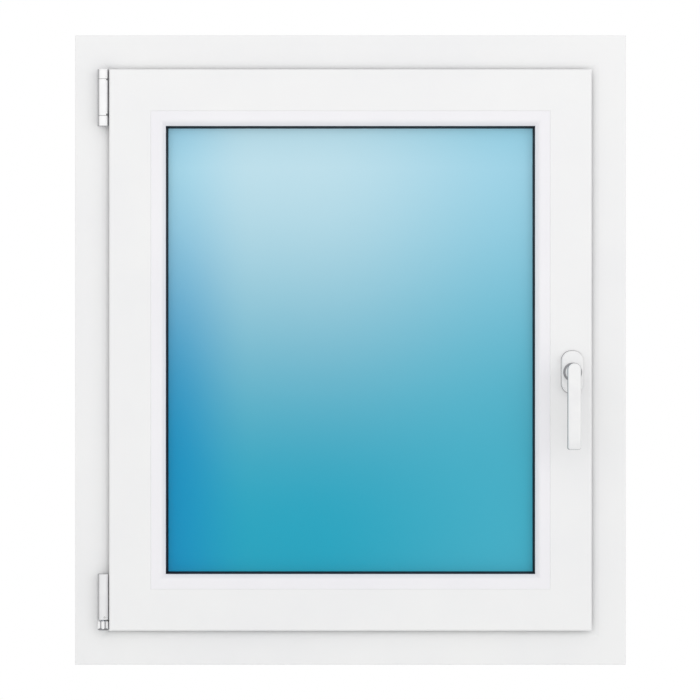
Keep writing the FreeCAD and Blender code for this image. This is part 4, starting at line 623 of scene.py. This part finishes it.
@dataclass
class Plate:
    """Plate that faces the room, with rounded corners and a rounded rim."""

    centre_x: float
    low: float
    high: float
    width: float
    back: float
    front: float
    top_corner: float
    foot_corner: float
    rim: float

    def form(self) -> bmesh.types.BMesh:
        """Builds the plate from one rectangle.

        Returns:
            The form.
        """
        form = bmesh.new()
        bmesh.ops.create_grid(form, x_segments=1, y_segments=1, size=0.5)
        size = Matrix.Diagonal((self.width, self.high - self.low, 1, 1))
        middle = Vector((self.centre_x, self.back, (self.low + self.high) / 2))
        upright = Matrix.Translation(middle) @ Matrix.Rotation(math.pi / 2, 4, "X") @ size
        bmesh.ops.transform(form, matrix=upright, verts=form.verts)
        for height, radius in ((self.high, self.top_corner), (self.low, self.foot_corner)):
            corners = [vert for vert in form.verts if abs(vert.co.z - height) < TOUCH]
            bmesh.ops.bevel(form, geom=corners, affect="VERTICES", offset=radius, offset_type="OFFSET",
                            segments=14, profile=0.5, material=-1)
        made = bmesh.ops.extrude_face_region(form, geom=list(form.faces), use_keep_orig=True)
        moved = [item for item in made["geom"] if isinstance(item, bmesh.types.BMVert)]
        bmesh.ops.translate(form, verts=moved, vec=(0, self.front - self.back, 0))
        rims = edges_where(form, lambda point: abs(point.y - self.front) < TOUCH)
        bmesh.ops.bevel(form, geom=rims, affect="EDGES", offset=self.rim, segments=6, profile=0.5,
                        material=-1)
        return form


# Sub-assemblies

@dataclass
class Dressing:
    """CAD nodes of one sub-assembly and the finish that each one gets."""

    finishes: dict[str, Finish]

    def dress(self, nodes: dict[str, bpy.types.Object]) -> None:
        """Gives each node its finish.

        Args:
            nodes: The CAD nodes by name.
        """
        for name, finish in self.finishes.items():
            materials = nodes[name].data.materials
            materials.clear()
            materials.append(finish.material())
            LOG.info("node %s: %s", name, finish.name)


@dataclass
class OuterFrame(Dressing):
    """Fixed frame with its drain caps, keeps and seals."""

    finishes: dict[str, Finish] = field(default_factory=lambda: {
        "frame_head": VINYL_ACROSS, "frame_sill": VINYL_ACROSS,
        "frame_jamb_hinge": VINYL_UP, "frame_jamb_lock": VINYL_UP,
        "frame_steels": GALVANISED, "frame_gasket": RUBBER, "drain_caps": CAP_PLASTIC,
        "keeps_lock": PLATE, "keep_top": PLATE, "keep_tilt": PLATE, "keep_screws": SCREW_PLATE,
    })


@dataclass
class Sash(Dressing):
    """Moving sash with its steels, beads and seals."""

    finishes: dict[str, Finish] = field(default_factory=lambda: {
        "sash_rail_top": VINYL_ACROSS, "sash_rail_bottom": VINYL_ACROSS,
        "sash_stile_hinge": VINYL_UP, "sash_stile_lock": VINYL_UP, "sash_steels": GALVANISED,
        "glazing_bead_top": BEAD_ACROSS, "glazing_bead_bottom": BEAD_ACROSS,
        "glazing_bead_hinge": BEAD_UP, "glazing_bead_lock": BEAD_UP,
        "bead_gasket": RUBBER, "outer_glazing_gasket": RUBBER, "sash_gasket": RUBBER,
    })


@dataclass
class Glazing(Dressing):
    """Sealed unit: two panes, spacer bar, edge seal and its packers."""

    finishes: dict[str, Finish] = field(default_factory=lambda: {
        "glass_inner_pane": GLASS, "glass_outer_pane": GLASS, "glass_spacer": ALUMINIUM,
        "glass_edge_seal": SEALANT, "setting_blocks": PACKER,
    })


@dataclass
class Hinges(Dressing):
    """Bearing and pivot at the foot, stay bearing and stay at the top."""

    finishes: dict[str, Finish] = field(default_factory=lambda: {
        "corner_bearing": PLATE, "corner_bearing_cover": COAT, "stay_bearing_upper": KNUCKLE_PAINTED_SHADE,
        "stay_bearing_lower": KNUCKLE_PAINTED_SHADE, "stay_bearing_pin": PLATE, "hinge_screws": SCREW_PLATE,
        "pivot_swivel": PLATE, "trunnion_pin": PLATE, "sash_hinge_band": KNUCKLE_PAINTED_SHADE, "pivot_post": PLATE,
        "stay_arm": KNUCKLE_PAINTED_SHADE, "stay_slide_pin": PLATE,
    })
    axis_x: float = -313.6 * MM
    axis_y: float = -43.2 * MM
    radius: float = 7.2 * MM
    upper_length: float = 12.2 * MM
    arm_length: float = 46.1 * MM
    lower_length: float = 13.3 * MM
    joint: float = 0.4 * MM
    cap_sunk: float = 0.1 * MM
    cap_proud: float = 0.45 * MM
    cap_reach: tuple[float, float] = (41.5, 4.5)
    lower_cap_short: float = 0.7 * MM
    sleeve_cap_reach: tuple[float, float] = (47.0, 10.0)
    sleeve_cap_short: float = 0.4 * MM
    lug_height: float = 2.2 * MM
    lug_sunk: float = 0.2 * MM
    lug_proud: float = 0.5 * MM
    lug_reach: tuple[float, float] = (7.0, 41.0)
    rib_radius: float = 2.05 * MM
    rib_spread: float = 61.0
    rib_proud: float = 0.2 * MM
    rib_foot: float = 1.3 * MM
    rib_dome: float = 0.85
    post_room: float = 5.0 * MM
    shell_inner: float = 5.65 * MM
    shell_outer: float = 5.95 * MM
    shell_short: float = 0.5 * MM
    shell_half_angle: float = 96.0
    flange_outer: float = 6.7 * MM
    flange_height: float = 2.4 * MM
    grub_radius: float = 1.3 * MM
    grub_rise: float = 3.1 * MM
    grub_rim: float = 0.1 * MM
    grub_depth: float = 1.5 * MM
    grub_way: tuple[float, float, float] = (0.32, -1.0, 0.0)

    def axis_point(self, height: float) -> Vector:
        """Gives the point of the hinge axis at a height."""
        return Vector((self.axis_x, self.axis_y, height))

    def shell(self, low: float, high: float, inner: float, outer: float, half_angle: float,
              turned_to: float = 0.0) -> bmesh.types.BMesh:
        """Builds a part of a tube round the hinge axis.

        Args:
            low: Its foot.
            high: Its top.
            inner: Inner radius.
            outer: Outer radius.
            half_angle: Degrees that it reaches to each side.
            turned_to: Degrees from the room side to its middle, towards the sash.

        Returns:
            The form.
        """
        form = bmesh.new()
        corners = [(inner, low), (outer, low), (outer, high), (inner, high)]
        verts = [form.verts.new(Vector((0, -radius, height))) for radius, height in corners]
        form.faces.new(verts)
        rims = [vert for vert in verts if abs(vert.co.y + outer) < TOUCH]
        bmesh.ops.bevel(form, geom=rims, affect="VERTICES", offset=0.3 * MM, segments=3, profile=0.5,
                        material=-1)
        start = Matrix.Rotation(math.radians(turned_to - half_angle), 4, "Z")
        bmesh.ops.transform(form, matrix=Matrix.Translation(self.axis_point(0)) @ start, verts=form.verts)
        bmesh.ops.spin(form, geom=form.verts[:] + form.edges[:] + form.faces[:], cent=self.axis_point(0),
                       axis=(0, 0, 1), angle=math.radians(2 * half_angle), steps=max(4, int(half_angle / 3)))
        return form

    def caps(self) -> None:
        """Builds the white caps on the knuckles and the sleeve, leaving the knuckles' grey sides bare as
        painted shade.
        """
        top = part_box("stay_bearing_upper")[1].z
        upper_low = top - self.upper_length
        arm_high = upper_low - self.joint
        arm_low = arm_high - self.arm_length
        lower_high = arm_low - self.joint
        lower_low = lower_high - self.lower_length + self.lower_cap_short
        sleeve_low, sleeve_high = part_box("sash_hinge_band")
        spans = (("upper_knuckle_cap", upper_low, top, "frame", COAT, self.cap_reach),
                 ("arm_knuckle_cap", arm_low, arm_high, "stay", COAT, self.cap_reach),
                 ("lower_knuckle_cap", lower_low, lower_high, "frame", COAT, self.cap_reach),
                 ("sleeve_cap", sleeve_low.z, sleeve_high.z - self.sleeve_cap_short, "sash", SLEEVE_COAT,
                  self.sleeve_cap_reach))
        for name, low, high, body, finish, reach in spans:
            form = self.shell(low, high, self.radius - self.cap_sunk, self.radius + self.cap_proud, *reach)
            finished(name, form, finish, body)
        # Near-black lugs at the joints: painted shade where the knuckles meet beside the sash.
        for name, low in (("upper_bushing_lug", upper_low - self.lug_height), ("lower_bushing_lug", arm_low)):
            form = self.shell(low, low + self.lug_height, self.radius - self.lug_sunk,
                              self.radius + self.lug_proud, *self.lug_reach)
            finished(name, form, LUG_PAINTED_SHADE, "stay")

    def bearing_rib(self, low: float, high: float) -> bmesh.types.BMesh:
        """Builds the front rib of the foot bearing's cover, flat at the back so that the post can lean.

        Args:
            low: Its foot.
            high: Its top.

        Returns:
            The form.
        """
        radius = self.rib_radius
        centre = self.axis_point(low) - Vector((0, self.radius + self.rib_proud - radius, 0))
        form = turned(((0, 0), (radius, 0), (radius, high - low), (0, high - low)), centre,
                      Vector((0, 0, 1)), 20)
        form.normal_update()
        rims = []
        for end in (low, high):
            rims += [edge for edge in edges_where(form, lambda point: abs(point.z - end) < TOUCH)
                     if len({face.normal.to_tuple(1) for face in edge.link_faces}) == 2]
        bmesh.ops.bevel(form, geom=rims, affect="EDGES", offset=self.rib_dome * radius, segments=5,
                        profile=0.5, material=-1)
        bmesh.ops.bisect_plane(form, geom=form.verts[:] + form.edges[:] + form.faces[:], dist=TOUCH,
                               plane_co=self.axis_point(0) - Vector((0, self.post_room, 0)),
                               plane_no=(0, 1, 0), clear_outer=True)
        bmesh.ops.holes_fill(form, edges=form.edges)
        return form

    def bearing_cover(self) -> None:
        """Builds the foot bearing's cover: three domed ribs on a grey shell above a darker foot flange; the
        greys are painted shade between and under the ribs.
        """
        low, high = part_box("corner_bearing_cover")
        form = self.bearing_rib(low.z + self.rib_foot, high.z)
        front_rib = form.verts[:] + form.edges[:] + form.faces[:]
        for angle in (-self.rib_spread, self.rib_spread):
            copied = bmesh.ops.duplicate(form, geom=front_rib)["geom"]
            bmesh.ops.rotate(form, verts=[item for item in copied if isinstance(item, bmesh.types.BMVert)],
                             cent=self.axis_point(0), matrix=Matrix.Rotation(math.radians(angle), 3, "Z"))
        ribs = finished("bearing_ribs", form, COAT, "frame")
        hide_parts("corner_bearing_cover")
        form = self.shell(low.z + self.shell_short, high.z - self.shell_short, self.shell_inner,
                          self.shell_outer, self.shell_half_angle)
        finished("bearing_shell", form, KNUCKLE_PAINTED_SHADE, "frame")
        form = self.shell(low.z, low.z + self.flange_height, self.shell_inner, self.flange_outer,
                          self.shell_half_angle)
        finished("bearing_foot_flange", form, FLANGE_PAINTED_SHADE, "frame")

    def grub_screw(self) -> None:
        """Builds the little socket screw low on the sleeve that lifts or lowers the sash."""
        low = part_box("sash_hinge_band")[0].z
        way = Vector(self.grub_way).normalized()
        centre = self.axis_point(low + self.grub_rise) + way * self.radius
        radius = self.grub_radius
        socket = 0.3 * self.cap_proud
        rim = self.cap_proud + self.grub_rim
        profile = ((0, socket), (0.45 * radius, socket), (0.55 * radius, rim), (0.85 * radius, rim),
                   (radius, self.cap_proud), (radius, -self.grub_depth), (0, -self.grub_depth))
        finished("sleeve_grub_screw", turned(profile, centre, way, steps=24), SCREW_PLATE, "sash")


@dataclass
class DriveGear(Dressing):
    """Espagnolette gear in the sash's groove."""

    finishes: dict[str, Finish] = field(default_factory=lambda: {
        "gearbox_housing": PLATE, "lock_faceplate": PLATE, "top_faceplate": PLATE,
        "bottom_faceplate": PLATE, "stay_guide_rail": PLATE, "corner_drive_top": PLATE,
        "corner_drive_bottom": PLATE, "sash_hardware_screws": SCREW_PLATE, "gear_pinion": PLATE,
        "drive_rod": PLATE, "lock_cams": SCREW_PLATE, "rod_top": PLATE, "rod_bottom": PLATE,
    })


@dataclass
class Handle(Dressing):
    """Lever handle on its rosette."""

    finishes: dict[str, Finish] = field(default_factory=lambda: {
        "handle_base": NYLON, "handle_rosette": ROSETTE_COAT, "handle_screws": SCREW_PLATE,
        "handle_lever": HANDLE_COAT, "handle_spindle": PLATE,
    })
    hub_radius: float = 9.0 * MM
    hub_depth: float = 9.0 * MM
    neck_radius: float = 7.2 * MM
    waist: float = 0.6 * MM
    shoulder: float = 1.6 * MM
    neck_sunk: float = 2.0 * MM
    neck_top: float = 2.4 * MM
    collar_radius: float = 11.9 * MM
    collar_height: float = 2.7 * MM
    collar_edge: float = 0.6 * MM
    foot_sunk: float = 0.3 * MM
    thickness: float = 12 * MM
    front_width: float = 15.9 * MM
    back_width: float = 16.9 * MM
    back_share: float = 0.3
    head_short: float = 0.1 * MM
    foot_corner: float = 2.6 * MM
    rim: float = 1.5 * MM
    back_rim: float = 0.4 * MM
    drop_length: float = 12 * MM
    drop: float = 3.2 * MM
    pad_grow: float = 0.35 * MM
    pad_thickness: float = 0.8 * MM
    pad_corner: float = 12.8 * MM
    pad_rim: float = 0.2 * MM

    def middle(self) -> tuple[float, float]:
        """Gives the x and z of the spindle's axis."""
        low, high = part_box("handle_rosette")
        return (low.x + high.x) / 2, (low.z + high.z) / 2

    def bent_plate(self, width: float, back: float, front: float, rim: float,
                   finish: Finish, name: str) -> bpy.types.Object:
        """Builds one shell of the grip: a round head, straight sides and a tip that bends back.

        Args:
            width: Its width.
            back: Y of its back.
            front: Y of its front.
            rim: Radius of the front rim.
            finish: Its finish.
            name: The piece's name.

        Returns:
            The piece.
        """
        low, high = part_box("handle_lever")
        grow = (width - self.front_width) / 2
        form = Plate(self.middle()[0], low.z - grow, high.z + grow, width, back, front,
                     width / 2 - self.head_short, self.foot_corner, rim).form()
        for share in (1.0, 0.75, 0.5, 0.25):
            bmesh.ops.bisect_plane(form, geom=form.verts[:] + form.edges[:] + form.faces[:],
                                   dist=TOUCH, plane_co=(0, 0, low.z + share * self.drop_length),
                                   plane_no=(0, 0, 1))
        for vert in form.verts:
            share = max(0.0, 1 - (vert.co.z - low.z) / self.drop_length)
            vert.co.y += self.drop * share * share
        return finished(name, form, finish, "handle")

    def lever(self) -> None:
        """Builds the grip from its white front shell and its slightly wider grey back shell, whose grey rim
        is painted shade.
        """
        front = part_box("handle_lever")[0].y
        back = front + self.thickness
        split = back - self.back_share * self.thickness
        grip = self.bent_plate(self.front_width, split, front, self.rim, HANDLE_COAT, "handle_grip")
        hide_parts("handle_lever")
        self.bent_plate(self.back_width, back, split - 20 * TOUCH, self.back_rim, LEVER_BACK_PAINTED_SHADE,
                        "handle_grip_back")

    def neck(self) -> None:
        """Builds the waisted neck on its collar, with the hub behind it."""
        axis_x, axis_z = self.middle()
        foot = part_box("handle_rosette")[0].y - self.foot_sunk
        top = foot - (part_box("handle_lever")[0].y + self.thickness - self.neck_sunk)
        profile = ((0, -self.hub_depth), (self.hub_radius, -self.hub_depth),
                   (self.hub_radius, self.collar_height),
                   (self.neck_radius, self.collar_height + self.shoulder),
                   (self.neck_radius - self.waist, 0.5 * top), (self.neck_radius, top - self.neck_top),
                   (self.neck_radius, top), (0, top))
        centre = Vector((axis_x, foot, axis_z))
        room = Vector((0, -1, 0))
        finished("handle_neck", turned(profile, centre, room, steps=56), HANDLE_COAT, "handle",
                 crease=40.0)
        # The collar's grey is painted shade: the dark crescent round the neck's foot.
        inner = self.hub_radius - 0.1 * MM
        edge = self.collar_edge
        ring = ((inner, 0), (self.collar_radius, 0), (self.collar_radius, edge),
                (self.collar_radius - 0.5 * MM, 2 * edge), (inner + 0.3 * MM, self.collar_height),
                (inner, self.collar_height), (inner, 0))
        finished("handle_collar", turned(ring, centre, room, steps=56), COLLAR_PAINTED_SHADE, "handle",
                 crease=40.0)

    def pad(self) -> None:
        """Builds the thin grey pad between the rosette and the sash, a painted contact shadow round the
        rosette.
        """
        low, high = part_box("handle_rosette")
        grow = self.pad_grow
        form = Plate(self.middle()[0], low.z - grow, high.z + grow, high.x - low.x + 2 * grow, high.y,
                     high.y - self.pad_thickness, self.pad_corner, self.pad_corner, self.pad_rim).form()
        finished("rosette_pad", form, PAD_PAINTED_SHADOW, "sash")


@dataclass
class Studio:
    """Pale studio with soft light from all round and a long lens square to the room side."""

    lens: float = 202.4
    distance: float = 5.0
    face_y: float = -0.035
    eye_height: float = 0.4
    eye_x: float = -0.0006
    floor_z: float = -0.3
    floor_half: float = 2.8
    side_light: float = 0.77
    front_light: float = 1.3
    key_place: tuple[float, float, float] = (2.2, -2.6, 0.9)
    key_watts: float = 4.5
    rear_place: tuple[float, float, float] = (-2.4, 2.6, 1.6)
    rear_watts: float = 6.0
    softbox_size: float = 1.0

    def build(self) -> None:
        """Builds the camera, the surroundings, the lights and the floor."""
        scene = bpy.context.scene
        scene.view_settings.view_transform = "Standard"
        camera_data = bpy.data.cameras.new("camera")
        camera_data.lens = self.lens
        camera = bpy.data.objects.new("camera", camera_data)
        camera.location = (self.eye_x, self.face_y - self.distance, self.eye_height)
        camera.rotation_euler = (math.pi / 2, 0, 0)
        scene.collection.objects.link(camera)
        scene.camera = camera
        self.surroundings()
        self.floor()
        self.softbox("key", Vector(self.key_place), self.key_watts)
        self.softbox("rear", Vector(self.rear_place), self.rear_watts)

    def surroundings(self) -> None:
        """Builds the white surroundings, brighter before and behind the window than beside it."""
        world = bpy.data.worlds.new("studio")
        bpy.context.scene.world = world
        world.use_nodes = True
        tree = world.node_tree
        background = tree.nodes["Background"]
        background.inputs["Color"].default_value = (1, 1, 1, 1)
        way = add_node(tree, "TexCoord").outputs["Generated"]
        axes = add_node(tree, "SeparateXYZ", links={"Vector": way})
        square = add_node(tree, "Math", {"operation": "MULTIPLY"},
                          links={0: axes.outputs["Y"], 1: axes.outputs["Y"]})
        light = add_node(tree, "MapRange", values={"To Min": self.side_light, "To Max": self.front_light},
                         links={"Value": square.outputs["Value"]})
        seen = add_node(tree, "LightPath").outputs["Is Camera Ray"]
        strength = add_node(tree, "Mix", {"data_type": "FLOAT"}, {3: 1.0},
                            {0: seen, 2: light.outputs["Result"]})
        tree.links.new(strength.outputs[0], background.inputs["Strength"])

    def floor(self) -> None:
        """Builds the floor below the window."""
        form = bmesh.new()
        bmesh.ops.create_grid(form, x_segments=1, y_segments=1, size=self.floor_half)
        bmesh.ops.translate(form, verts=form.verts, vec=(0, 0, self.floor_z))
        mesh = bpy.data.meshes.new("floor")
        form.to_mesh(mesh)
        form.free()
        mesh.materials.append(STUDIO_FLOOR.material())
        floor = bpy.data.objects.new("floor", mesh)
        bpy.context.scene.collection.objects.link(floor)

    def softbox(self, name: str, place: Vector, watts: float) -> None:
        """Adds a square softbox that faces the window's middle.

        Args:
            name: Its name.
            place: Its centre.
            watts: Its power.
        """
        data = bpy.data.lights.new(name, "AREA")
        data.size = self.softbox_size
        data.energy = watts
        lamp = bpy.data.objects.new(name, data)
        lamp.location = place
        lamp.rotation_euler = (Vector((0, 0, self.eye_height)) - place).to_track_quat("-Z", "Y").to_euler()
        bpy.context.scene.collection.objects.link(lamp)


def main() -> None:
    """Loads the CAD frame, dresses it, adds the new pieces and sets up the studio."""
    logging.basicConfig(level=logging.INFO, format="%(message)s")
    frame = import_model()
    nodes = frame["nodes"]
    hinges = Hinges()
    handle = Handle()
    for part in (OuterFrame(), Sash(), Glazing(), hinges, DriveGear(), handle):
        part.dress(nodes)
    for build in (hinges.caps, hinges.bearing_cover, hinges.grub_screw, handle.lever, handle.neck,
                  handle.pad):
        build()
    Studio().build()


if __name__ == "__main__":
    main()
